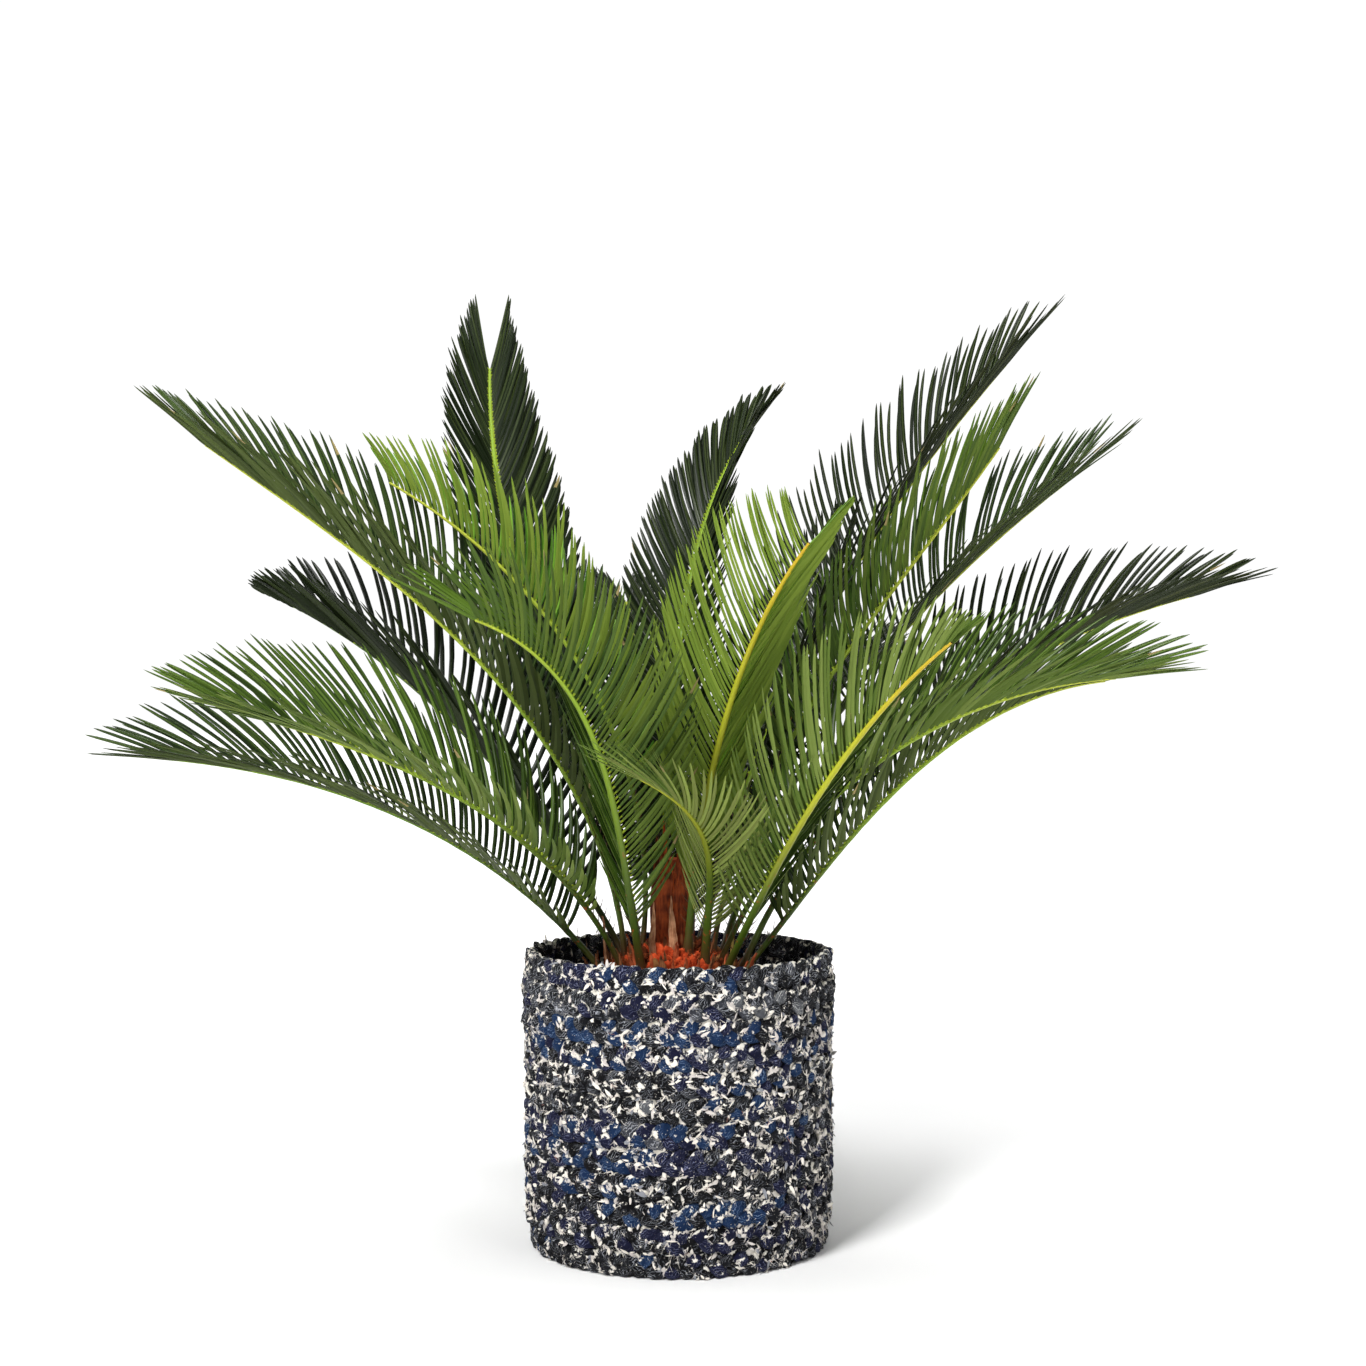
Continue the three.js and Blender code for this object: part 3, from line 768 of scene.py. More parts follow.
class Stalk(Enum):
    """Colours of a stalk: low down, at its middle and towards its tip."""

    GREEN = ("324510", "5c7a20", "7e9a2c")
    YELLOW = ("3a4d10", "7a9428", "aab034")
    GOLD = ("3e5210", "a0a222", "c49a22")
    AMBER = ("6e5a14", "96701c", "9a6820")
    DARK = ("2a3a12", "38501a", "4a6420")


@dataclass(frozen=True)
class Habit:
    """How one frond grows, by the rule of the part's source. Angles are in degrees, lengths in mm.

    The foot is a direction and a radius on the crown. The stem leaves it along the heading, turned by
    sway at its tip, and climbs at angles for foot, middle and tip. Its share called bare has no
    leaflets. Those are spacing apart, width wide and up to leaflet long, rise by vee and are turned
    about the stem by roll. Tip is the last one's share of the longest. Right and left are the rows'
    angles to the stem at foot and tip, and left_width and right_width are shares of width. Bend carries
    an end forward, graded paints shade that darkens leaflets towards the frond's foot, and dry is the
    share of dry tips.
    an end forward, graded lightens leaflets towards the frond's tip, and dry is the share of dry tips.
    """

    heading: float
    foot: Pair
    length: float
    climb: tuple[float, float, float]
    vee: float
    leaflet: float
    bare: float
    tone: Tone
    stalk: Stalk
    spacing: float = 6.6
    width: float = 4.2
    sway: float = 0.0
    roll: float = 0.0
    tip: float = 0.5
    right: Pair = (78.0, 18.0)
    left: Pair = (78.0, 18.0)
    bend: float = 0.45
    left_width: float = 1.0
    right_width: float = 1.0
    painted_foot_shade: float = 0.5
    dry: float = 0.02


HABITS = (
    Habit(190, (190, 48), 356, (53.6, 26, 5), 40, 92, 0.12, Tone.DEEP, Stalk.GREEN, 5, 3.3, roll=-30),
    Habit(208, (208, 40), 358, (63.5, 29.6, 15), 37, 93, 0.14, Tone.MID, Stalk.YELLOW, 4.6, 3.3,
          roll=-31, tip=0.46),
    Habit(178, (178, 34), 494, (85.3, 45.8, 35), 45, 98, 0.2, Tone.DEEP, Stalk.YELLOW, 4.8, 3.7,
          roll=-16, tip=0.56),
    Habit(175, (175, 22), 407, (98, 60, 30), 45, 82, 0.3, Tone.BRIGHT, Stalk.YELLOW, 4.8, 3,
          roll=10, tip=0.46, right=(78, 48), left=(78, 48)),
    Habit(246, (235, 38), 292, (66, 67, 19), 40, 92, 0.12, Tone.FRESH, Stalk.YELLOW, 3.6, 3,
          sway=-64, roll=5, tip=0.66, right=(45, 12), left=(56, 60)),
    Habit(138, (138, 28), 515, (60, 62, 62), 24, 81, 0.36, Tone.DARK, Stalk.GREEN, 3.3, 5.4,
          sway=-45, tip=0.8, right=(56, 14), left=(56, 14)),
    Habit(74, (110, 24), 426, (84, 74, 46), 36, 66, 0.2, Tone.DARK, Stalk.GREEN, 3.2, 5,
          sway=-32, tip=0.6, right=(66, 14), left=(66, 14)),
    Habit(307, (297, 23), 322, (83.6, 66.9, 38.6), 18, 98, 0.16, Tone.BRIGHT, Stalk.GOLD, 3.6, 2.8,
          roll=-24, tip=0.4, right=(34, 58), left=(26, 8), left_width=1.8, painted_foot_shade=2.4),
    Habit(40, (45, 46), 330, (66, 68, 68), 40, 85, 0.2, Tone.DARK, Stalk.AMBER, 4.8, 3.6),
    Habit(28, (50, 30), 530, (77, 57, 45.2), 38, 93, 0.25, Tone.DARK, Stalk.YELLOW, 5.8, 3.7,
          roll=5, tip=0.7),
    Habit(0, (5, 28), 422, (82, 56.4, 55), 45, 80, 0.36, Tone.FRESH, Stalk.YELLOW, 4.6, 2.8, tip=0.66),
    Habit(22, (25, 38), 474, (73.5, 48.7, 34.8), 35, 97, 0.25, Tone.DEEP, Stalk.YELLOW, 5.2, 3.3,
          roll=10, tip=0.68),
    Habit(312, (320, 46), 316, (58.2, 49.5, 31.1), 40, 95, 0.14, Tone.MID, Stalk.GOLD, 4.4, 3.1,
          roll=-15, tip=0.25, right=(61, 14), left=(47, 11), painted_foot_shade=1.3),
    Habit(340, (335, 36), 362, (67, 36.2, 4), 42, 90, 0.14, Tone.MID, Stalk.YELLOW, 4.6, 3.4,
          roll=26, tip=0.62),
    Habit(14, (14, 50), 470, (67, 36.2, 13.5), 39, 92, 0.33, Tone.DARK, Stalk.YELLOW, 5.4, 3.9,
          roll=20, tip=0.64),
    Habit(0, (352, 48), 345, (51, 44, 6), 40, 95, 0.14, Tone.DEEP, Stalk.YELLOW, 5, 3.2, roll=10, tip=0.4),
    Habit(158, (158, 36), 420, (59.7, 41.6, 21.5), 50, 108, 0.16, Tone.SHADE, Stalk.DARK, 7.6, 5.6,
          roll=-10, tip=0.08, left=(47, 11)),
    Habit(285, (306, 38), 170, (77.5, 55.7, 26.3), 18, 58, 0.15, Tone.OLIVE, Stalk.GOLD, 3.3, 2.8,
          sway=-110, roll=-16, tip=0.66, right=(39, 9), left=(58, 36), bend=0.7, right_width=0.55),
    Habit(60, (70, 44), 400, (60, 36, 8), 42, 95, 0.15, Tone.DARK, Stalk.GREEN, 4.2, 5.2),
    Habit(98, (95, 42), 400, (70, 44, 22), 42, 95, 0.15, Tone.DARK, Stalk.YELLOW, 4, 5.6),
    Habit(120, (122, 44), 400, (72, 50, 28), 42, 95, 0.15, Tone.DEEP, Stalk.GREEN, 4, 5.6),
    Habit(84, (82, 54), 370, (48, 24, 0), 42, 92, 0.14, Tone.DEEP, Stalk.YELLOW, 4.2, 5.2),
)


class Stem:
    """The stem of a frond: its path and its own directions, from the crown to its tip."""

    STEPS = 90
    HALF_WIDTH = 4.4 * MM
    HALF_HEIGHT = 3.6 * MM
    TIP_SHARE = 0.2
    TAPER = 0.65
    FOOT_FLARE = 1.3
    FOOT_FLARE_LENGTH = 16 * MM
    FOOT_GAP = 0.5 * MM

    def __init__(self, habit: Habit, dome: CrownDome) -> None:
        """Grows the path.

        Args:
            habit: How the frond grows.
            dome: The crown that it stands on.
        """
        self.habit = habit
        self.length = habit.length * MM
        middles = (np.arange(self.STEPS) + 0.5) / self.STEPS
        steps = self.along(middles) * self.length / self.STEPS
        foot = polar(habit.foot[0], habit.foot[1] * MM, 0.0) + dome.axis
        self.path = np.vstack([foot, foot + np.cumsum(steps, axis=0)])
        corners = [
            self.path[0] + side * self.half_width(0.0) * right + level * self.half_height(0.0) * face
            for _, right, face in [self.frame(np.array([0.0]))]
            for side in (-1, 1)
            for level in (-1, 1)
        ]
        self.path[:, 2] += self.FOOT_GAP - float(np.min(dome.above(np.array(corners))))

    def heading(self, share: Array) -> Array:
        """Gives the direction that the stem leans to, in radians."""
        return np.radians(self.habit.heading + self.habit.sway * share**2)

    def along(self, share: Array) -> Array:
        """Gives the stem's direction, whose climb is a parabola through its three angles.

        Args:
            share: Shares of the stem's length.

        Returns:
            A unit vector for each share.
        """
        foot, middle, tip = self.habit.climb
        climb = np.radians(
            foot * (1 - share) * (1 - 2 * share) + 4 * middle * share * (1 - share)
            + tip * share * (2 * share - 1)
        )
        turn = self.heading(share)
        return np.stack([np.cos(climb) * np.cos(turn), np.cos(climb) * np.sin(turn), np.sin(climb)], -1)

    def at(self, share: Array) -> Array:
        """Gives points on the stem's middle line.

        Args:
            share: Shares of the stem's length.

        Returns:
            The points.
        """
        place = np.clip(share, 0.0, 1.0) * self.STEPS
        index = np.minimum(place.astype(int), self.STEPS - 1)
        part = (place - index)[..., None]
        return self.path[index] * (1 - part) + self.path[index + 1] * part

    def frame(self, share: Array) -> tuple[Array, Array, Array]:
        """Gives the stem's own directions, with the frond's roll.

        Args:
            share: Shares of the stem's length.

        Returns:
            The directions ahead, to the right and out of the upper face.
        """
        ahead = self.along(share)
        turn = self.heading(share)
        level = np.stack([np.sin(turn), -np.cos(turn), np.zeros_like(turn)], -1)
        upper = np.cross(level, ahead)
        roll = math.radians(self.habit.roll)
        face = upper * math.cos(roll) + level * math.sin(roll)
        right = level * math.cos(roll) - upper * math.sin(roll)
        return ahead, right, face

    def slim(self, share: Array) -> Array:
        """Gives the share of the stem's thickness that is left, with the flare of its foot."""
        taper = 1 + (self.TIP_SHARE - 1) * np.asarray(share) ** self.TAPER
        flare = np.minimum(1.0, np.asarray(share) * self.length / self.FOOT_FLARE_LENGTH)
        return taper * (self.FOOT_FLARE + (1 - self.FOOT_FLARE) * flare)

    def half_width(self, share: Array) -> Array:
        """Gives half the stem's width."""
        return self.HALF_WIDTH * self.slim(share)

    def half_height(self, share: Array) -> Array:
        """Gives half the stem's height."""
        return self.HALF_HEIGHT * self.slim(share)


class Keepout:
    """The stems and other solid things that leaflets stay clear of."""

    STEP = 3 * MM
    CLEARANCE = 0.6 * MM
    REACH = 8 * MM
    OVER_RIM = 3 * MM
    INSIDE_RIM = 15 * MM

    def __init__(self, stems: Sequence[Stem], dome: CrownDome) -> None:
        """Gathers the stems' middle lines in a tree.

        Args:
            stems: All the stems.
            dome: The crown.
        """
        self.dome = dome
        points, owners, reaches = [], [], []
        for owner, stem in enumerate(stems):
            shares = np.linspace(0, 1, int(stem.length / self.STEP) + 1)
            points.extend(stem.at(shares))
            owners.extend([owner] * len(shares))
            reaches.extend(stem.half_width(shares))
        self.owners = owners
        self.reaches = [reach + self.CLEARANCE for reach in reaches]
        self.tree = KDTree(len(points))
        for index, point in enumerate(points):
            self.tree.insert(Vector(point), index)
        self.tree.balance()
        bud_low, bud_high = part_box("crown_bud")
        self.bud_top = bud_high.z
        self.bud_radius = 0.5 * (bud_high.x - bud_low.x) + self.CLEARANCE
        basket_low, basket_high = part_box("basket")
        self.rim_top = basket_high.z + self.OVER_RIM
        self.rim_radius = 0.5 * (basket_high.x - basket_low.x) - self.INSIDE_RIM

    def is_free(self, points: Array, owner: int) -> bool:
        """Tells whether all points are clear.

        Args:
            points: Sample points of a leaflet.
            owner: Number of the leaflet's own stem.

        Returns:
            True if none of them touches another stem, the bud, the rim or the crown.
        """
        beside_bud = np.linalg.norm(points[:, :2] - self.dome.axis[:2], axis=1) < self.bud_radius
        if np.any(beside_bud & (points[:, 2] < self.bud_top)):
            return False
        over_rim = np.linalg.norm(points[:, :2], axis=1) > self.rim_radius
        if np.any(over_rim & (points[:, 2] < self.rim_top)) or np.any(points[:, 2] < self.dome.top):
            return False
        for point in points:
            for _, index, apart in self.tree.find_range(Vector(point), self.REACH):
                if self.owners[index] != owner and apart < self.reaches[index]:
                    return False
        return True


@dataclass
class LeafletRows:
    """Both rows of leaflets of a frond, each a narrow blade with rolled edges and a midrib."""

    stem: Stem
    owner: int
    angle_shape: float = 1.3
    foot_share: float = 0.4
    longest_at: float = 0.4
    narrowing: float = 0.25
    thickness: float = 0.45 * MM
    roll_down: float = 0.42
    crown_up: float = 0.28
    shoulder: float = 0.6
    midrib: float = 0.7
    pitch: float = 24.0
    root_out: float = 0.5
    root_up: float = 0.25
    place_jitter: float = 0.15
    angle_jitter: float = 1.6
    shortest: float = 0.93
    sag: Pair = (0.05, 0.03)
    lean_jitter: float = 3.0
    twist_jitter: float = 10.0

    PLACES = np.array([0.0, 0.04, 0.11, 0.26, 0.44, 0.62, 0.77, 0.88, 0.96, 1.0])
    WIDTHS = np.array([0.45, 0.7, 0.95, 1.0, 1.0, 0.97, 0.9, 0.74, 0.46, 0.08])
    TRIES = ((0, 1.0), (9, 1.0), (-9, 1.0), (18, 1.0), (-18, 1.0), (0, 0.75), (14, 0.75), (0, 0.5))
    DARKEST_FIRST = (2, 0, 1)
    UNDER, DRY_TIP, FOOT = 3, 5, 6

    def length_share(self, share: Array) -> Array:
        """Gives the length of leaflets along the frond.

        Args:
            share: Places along the rows, from nought to one.

        Returns:
            Shares of the longest leaflet's length.
        """
        early = 1 - (1 - self.foot_share) * (1 - share / self.longest_at) ** 2
        past = (share - self.longest_at) / (1 - self.longest_at)
        late = 1 - (1 - self.stem.habit.tip) * past**2
        return np.where(share < self.longest_at, early, late)

    def blade(
        self, root: Array, side: int, angle: float, lift: float, length: float, sag: float
    ) -> tuple[Array, Array, Array]:
        """Works out a leaflet's middle line and directions.

        Args:
            root: Share of the stem where it grows.
            side: 1 for the right row and -1 for the left.
            angle: Angle to the stem, in degrees.
            lift: Lift out of the frond's plane, in degrees.
            length: Its length.
            sag: How far its tip bends under, as a share of its length.

        Returns:
            The middle line, the direction along it and the direction across it at PLACES.
        """
        ahead, right, face = [vector[0] for vector in self.stem.frame(np.array([root]))]
        turn, rise = math.radians(angle), math.radians(lift)
        out = (
            ahead * math.cos(turn)
            + right * side * math.sin(turn) * math.cos(rise)
            + face * math.sin(turn) * math.sin(rise)
        )
        places = self.PLACES[:, None]
        start = (
            self.stem.at(np.array([root]))[0]
            + side * right * self.stem.half_width(root) * self.root_out
            + face * self.stem.half_height(root) * self.root_up
        )
        line = (
            start
            + out * places * length
            + ahead * 0.5 * self.stem.habit.bend * length * places**2
            - face * sag * length * places**2
        )
        along = unit(out + ahead * self.stem.habit.bend * places - 2 * face * sag * places)
        across = unit(ahead - along * (along @ ahead)[:, None])
        return line, along, across

    def grow(self, mesh: JoinedMesh, keepout: Keepout, rng: Generator) -> int:
        """Grows both rows.

        Args:
            mesh: Takes the leaflets.
            keepout: What they stay clear of.
            rng: Random source.

        Returns:
            Number of leaflets.
        """
        habit = self.stem.habit
        blade_length = self.stem.length * (1 - habit.bare)
        pairs = int(blade_length / (habit.spacing * MM))
        grown = 0
        for side in (1, -1):
            rings, tones = [], []
            at_foot, at_tip = habit.right if side > 0 else habit.left
            for order in range(pairs):
                share = (order + 0.5 + rng.uniform(-self.place_jitter, self.place_jitter)) / pairs
                root = habit.bare + (1 - habit.bare) * share
                angle = at_foot + (at_tip - at_foot) * share**self.angle_shape
                angle += rng.normal(0.0, self.angle_jitter)
                full = habit.leaflet * MM * float(self.length_share(np.array(share)))
                full *= rng.uniform(self.shortest, 1.0)
                sag = rng.normal(*self.sag)
                lean = rng.normal(0.0, self.lean_jitter)
                twist = rng.normal(0.0, self.twist_jitter)
                drawn = rng.random(4)
                for more_lift, part in self.TRIES:
                    line, along, across = self.blade(
                        root, side, angle, habit.vee + lean + more_lift, full * part, sag
                    )
                    if keepout.is_free(line[2:], self.owner):
                        rings.append(self.sections(line, along, across, side, share, twist))
                        tones.append(self.shades(drawn, share))
                        grown += 1
                        break
            mesh.add_tubes(np.array(rings), np.array(tones), flip=side > 0)
        return grown

    def sections(
        self, line: Array, along: Array, across: Array, side: int, share: float, twist: float
    ) -> Array:
        """Works out the rings of one leaflet.

        Args:
            line: Its middle line.
            along: Directions along it.
            across: Directions across it, towards the frond's tip.
            side: 1 for the right row and -1 for the left.
            share: Its place along the frond.
            twist: How far it is turned about its length, in degrees.

        Returns:
            Points by ring and corner: rear edge, three over the top, front edge, midrib below.
        """
        upper = np.cross(along, across) * side
        pitch = math.radians(self.pitch + twist)
        tilted = across * math.cos(pitch) - upper * math.sin(pitch)
        normal = upper * math.cos(pitch) + across * math.sin(pitch)
        habit = self.stem.habit
        width = habit.width * MM * (habit.left_width if side < 0 else habit.right_width)
        half = 0.5 * width * (1 - self.narrowing * share) * self.WIDTHS[:, None]
        crown, edge = self.crown_up * half, self.roll_down * half
        return np.stack([
            line - tilted * half - normal * edge,
            line - tilted * half * self.shoulder,
            line + normal * crown,
            line + tilted * half * self.shoulder,
            line + tilted * half - normal * edge,
            line - normal * (edge * self.midrib + self.thickness * self.WIDTHS[:, None]),
        ], axis=1)

    def shades(self, drawn: Array, share: float) -> Array:
        """Deals out a leaflet's colours, with painted shade: the darkest green along its rear edge, and
        dark greens more often towards the frond's foot.

        Args:
            drawn: Four random numbers.
            share: Its place along the frond.

        Returns:
            Material index by stretch and side.
        """
        habit = self.stem.habit
        # Painted shade: leaflets take darker greens more often towards the frond's foot, on top of their
        # random tone.
        levels = np.clip(drawn[:2] + (share - 0.5) * habit.painted_foot_shade, 0.0, 0.99)
        shades = np.empty((len(self.PLACES) - 1, 6), int)
        # Painted shadow: the strip along the rear edge always takes the darkest green, for the shade in the
        # gap between leaflets.
        shades[:, 0] = self.DARKEST_FIRST[0]
        # The two halves of the top draw their greens apart: random tone, and partly painted light and shade
        # across the leaflet's keel.
        shades[:, 1] = self.DARKEST_FIRST[int(levels[0] * 3)]
        shades[:, 2:4] = self.DARKEST_FIRST[int(levels[1] * 3)]
        shades[:, 4:] = self.UNDER + int(drawn[2] * 2)
        shades[0] = self.FOOT
        if drawn[3] < habit.dry:
            shades[-2:, :] = self.DRY_TIP
        return shades


@dataclass
class Crown:
    """All the fronds."""

    dome: CrownDome
    rib_rings: int = 84
    rib_corners: int = 10
    foot_fullness: float = 0.74
    tip_fullness: float = 1.4
    ring_shape: float = 1.1
    flat_top: float = 0.6
    lumpiness: float = 0.03
    spine_length: float = 6 * MM
    spine_radius: float = 0.55 * MM
    spine_pitch: float = 5 * MM
    smooth_foot: float = 24 * MM
    smooth_share: float = 0.35
    stems: list[Stem] = field(default_factory=list)

    def build(self) -> None:
        """Builds every frond's leaflets and rib."""
        self.stems = [Stem(habit, self.dome) for habit in HABITS]
        keepout = Keepout(self.stems, self.dome)
        ends = [
            LeafCuticle(name, colour, roughness=0.7, gloss=0.1).material()
            for name, colour in (("dry_leaf_tip", "8a7c52"), ("leaflet_foot", "7d8e26"))
        ]
        greens = {tone: self.greens(tone) + ends for tone in Tone}
        skins = {stalk: StalkSkin(f"rachis_{stalk.name.lower()}", *stalk.value) for stalk in Stalk}
        stalks = {stalk: skin.material() for stalk, skin in skins.items()}
        for number, stem in enumerate(self.stems, start=1):
            node = f"frond_{number:02d}"
            rng = default_rng(4100 + number)
            blades = JoinedMesh()
            leaflets = LeafletRows(stem, number - 1).grow(blades, keepout, rng)
            piece = blades.piece(f"{node}_leaflets", greens[stem.habit.tone], sharp=48.0)
            report(piece, [node])
            rib = self.rib(stem, rng)
            report(rib.piece(f"{node}_rib", [stalks[stem.habit.stalk]], sharp=60.0), [node])
            LOG.info("%s has %d leaflets", node, leaflets)

    @staticmethod
    def greens(tone: Tone) -> list[Material]:
        """Makes a tone's materials: three for the upper side and two, duller, for the under side.

        Args:
            tone: The tone.

        Returns:
            The materials, in the order that LeafletRows counts them in.
        """
        sides = (("upper", tone.value[:3], 0.34, 0.18), ("under", tone.value[3:], 0.6, 0.08))
        return [
            LeafCuticle(f"cuticle_{tone.name.lower()}_{side}_{index}", colour, roughness, gloss).material()
            for side, colours, roughness, gloss in sides
            for index, colour in enumerate(colours)
        ]

    def rib(self, stem: Stem, rng: Generator) -> JoinedMesh:
        """Builds a frond's rib, rounded below and flattened above, with the spines of its foot.

        Args:
            stem: The frond's stem.
            rng: Random source.

        Returns:
            The rib's mesh.
        """
        mesh = JoinedMesh()
        shares = np.linspace(0, 1, self.rib_rings) ** self.ring_shape
        _, right, face = stem.frame(shares)
        centre = stem.at(shares)
        turns = np.arange(self.rib_corners) * math.tau / self.rib_corners
        fullness = (self.foot_fullness + (self.tip_fullness - self.foot_fullness) * shares)[:, None, None]
        wide = np.cos(turns)[None, :, None] * fullness * stem.half_width(shares)[:, None, None]
        flattened = np.where(np.sin(turns) > 0, self.flat_top, 1.0) * np.sin(turns)
        high = flattened[None, :, None] * fullness * stem.half_height(shares)[:, None, None]
        lumps = 1 + self.lumpiness * rng.standard_normal((self.rib_rings, 1, 1))
        rings = centre[:, None] - right[:, None] * wide * lumps + face[:, None] * high * lumps
        tone = np.zeros((1, self.rib_rings - 1, self.rib_corners), int)
        around = np.linspace(0, math.tau * Stem.HALF_WIDTH, self.rib_corners + 1)
        mesh.add_tubes(rings[None], tone, along=(shares * stem.length)[None], around=around)
        self.spines(mesh, stem, rng)
        return mesh

    def spines(self, mesh: JoinedMesh, stem: Stem, rng: Generator) -> None:
        """Adds the short spines that stand for leaflets on the foot of a stem.

        Args:
            mesh: The rib's mesh.
            stem: The frond's stem.
            rng: Random source.
        """
        first = max(self.smooth_foot / stem.length, self.smooth_share * stem.habit.bare)
        count = max(int((stem.habit.bare - first) * stem.length / self.spine_pitch), 1)
        roots = np.repeat(np.linspace(first, stem.habit.bare, count), 2)
        sides = np.tile([1.0, -1.0], count)[:, None]
        ahead, right, face = stem.frame(roots)
        spread = rng.uniform(0.8, 1.2, (len(roots), 1))
        out = unit(right * sides * spread + face * 0.5 + ahead * 0.7)
        start = stem.at(roots) + right * sides * stem.half_width(roots)[:, None] * 0.6
        lengths = self.spine_length * (0.5 + (roots / stem.habit.bare)[:, None]) * spread
        spines = needles(start, out, ahead * 0.3, lengths, self.spine_radius, 3)
        mesh.add_tubes(spines, np.zeros((1, 1, 1), int))


def needles(start: Array, out: Array, bend: Array, lengths: Array, radius: float, rings: int) -> Array:
    """Works out thin three-sided needles that taper and bend.

    Args:
        start: Their roots.
        out: Their first directions.
        bend: How they bend, as a share of their length at the tip.
        lengths: Their lengths, as a column.
        radius: Half their thickness at the root.
        rings: Number of rings on each.

    Returns:
        Points by needle, ring and corner.
    """
    places = np.linspace(0, 1, rings)[None, :, None]
    line = start[:, None] + (out[:, None] * places + bend[:, None] * places**2) * lengths[:, None]
    along = unit(out[:, None] + 2 * bend[:, None] * places)
    side = across_of(along)
    other = np.cross(along, side)
    turns = (np.arange(3) * math.tau / 3)[None, None, :, None]
    thick = (radius * (1 - 0.8 * places))[..., None]
    return line[:, :, None] + (side[:, :, None] * np.cos(turns) + other[:, :, None] * np.sin(turns)) * thick


def wisps(start: Array, out: Array, bend: Array, face: Array, lengths: Array, widths: Array) -> Array:
    """Works out flat, pointed tufts of matted fibre that lie on a surface.

    Args:
        start: Their roots.
        out: Their first directions.
        bend: How they bend, as a share of their length at the tip.
        face: Directions out of the surface.
        lengths: Their lengths, as a column.
        widths: Their greatest widths, as a column.

    Returns:
        Points by wisp, ring and corner.
    """
    places = np.array([0.0, 0.22, 0.5, 0.78, 1.0])[None, :, None]
    shape = np.array([0.3, 0.85, 1.0, 0.6, 0.06])[None, :, None]
    line = start[:, None] + (out[:, None] * places + bend[:, None] * places**2) * lengths[:, None]
    along = unit(out[:, None] + 2 * bend[:, None] * places)
    side = unit(np.cross(along, face[:, None] + 0 * along))
    lift = np.cross(side, along)
    wide = side * shape * 0.5 * widths[:, None]
    high = lift * shape * 0.22 * widths[:, None]
    return np.stack([line + wide, line + high, line - wide, line - high], axis=2)


# ---------------- the basket


class Rag(Enum):
    """Cloths of the braid: the dyed ground, the weft lines and how wide those are."""

    CHARCOAL = ("131418", "94979e", 0.24)
    BLACK = ("09090c", "787b82", 0.16)
    NAVY = ("111329", "6e7390", 0.12)
    BLUE = ("102442", "647a9a", 0.12)
    GREY = ("303238", "a8aab0", 0.4)
    FADED = ("4a4c50", "b8b9b8", 0.45)


class Cotton(Enum):
    """Colours of the frayed threads."""

    RAW = "e2dcd2"
    SOILED = "c6bfba"
    GREY = "85878d"
    INDIGO = "1d2338"
    ROSE = "a87a70"


@dataclass(frozen=True)
class Strand:
    """One strand of a ring of braid: its middle line and its directions at each step."""

    line: Array
    along: Array
    face: Array
    across: Array
    swing: Array

    def lobes(self) -> Array:
        """Numbers the lobes, which begin and end behind the braid."""
        numbers = np.floor((self.swing + math.pi / 4) / math.pi).astype(int)
        return numbers - numbers.min()


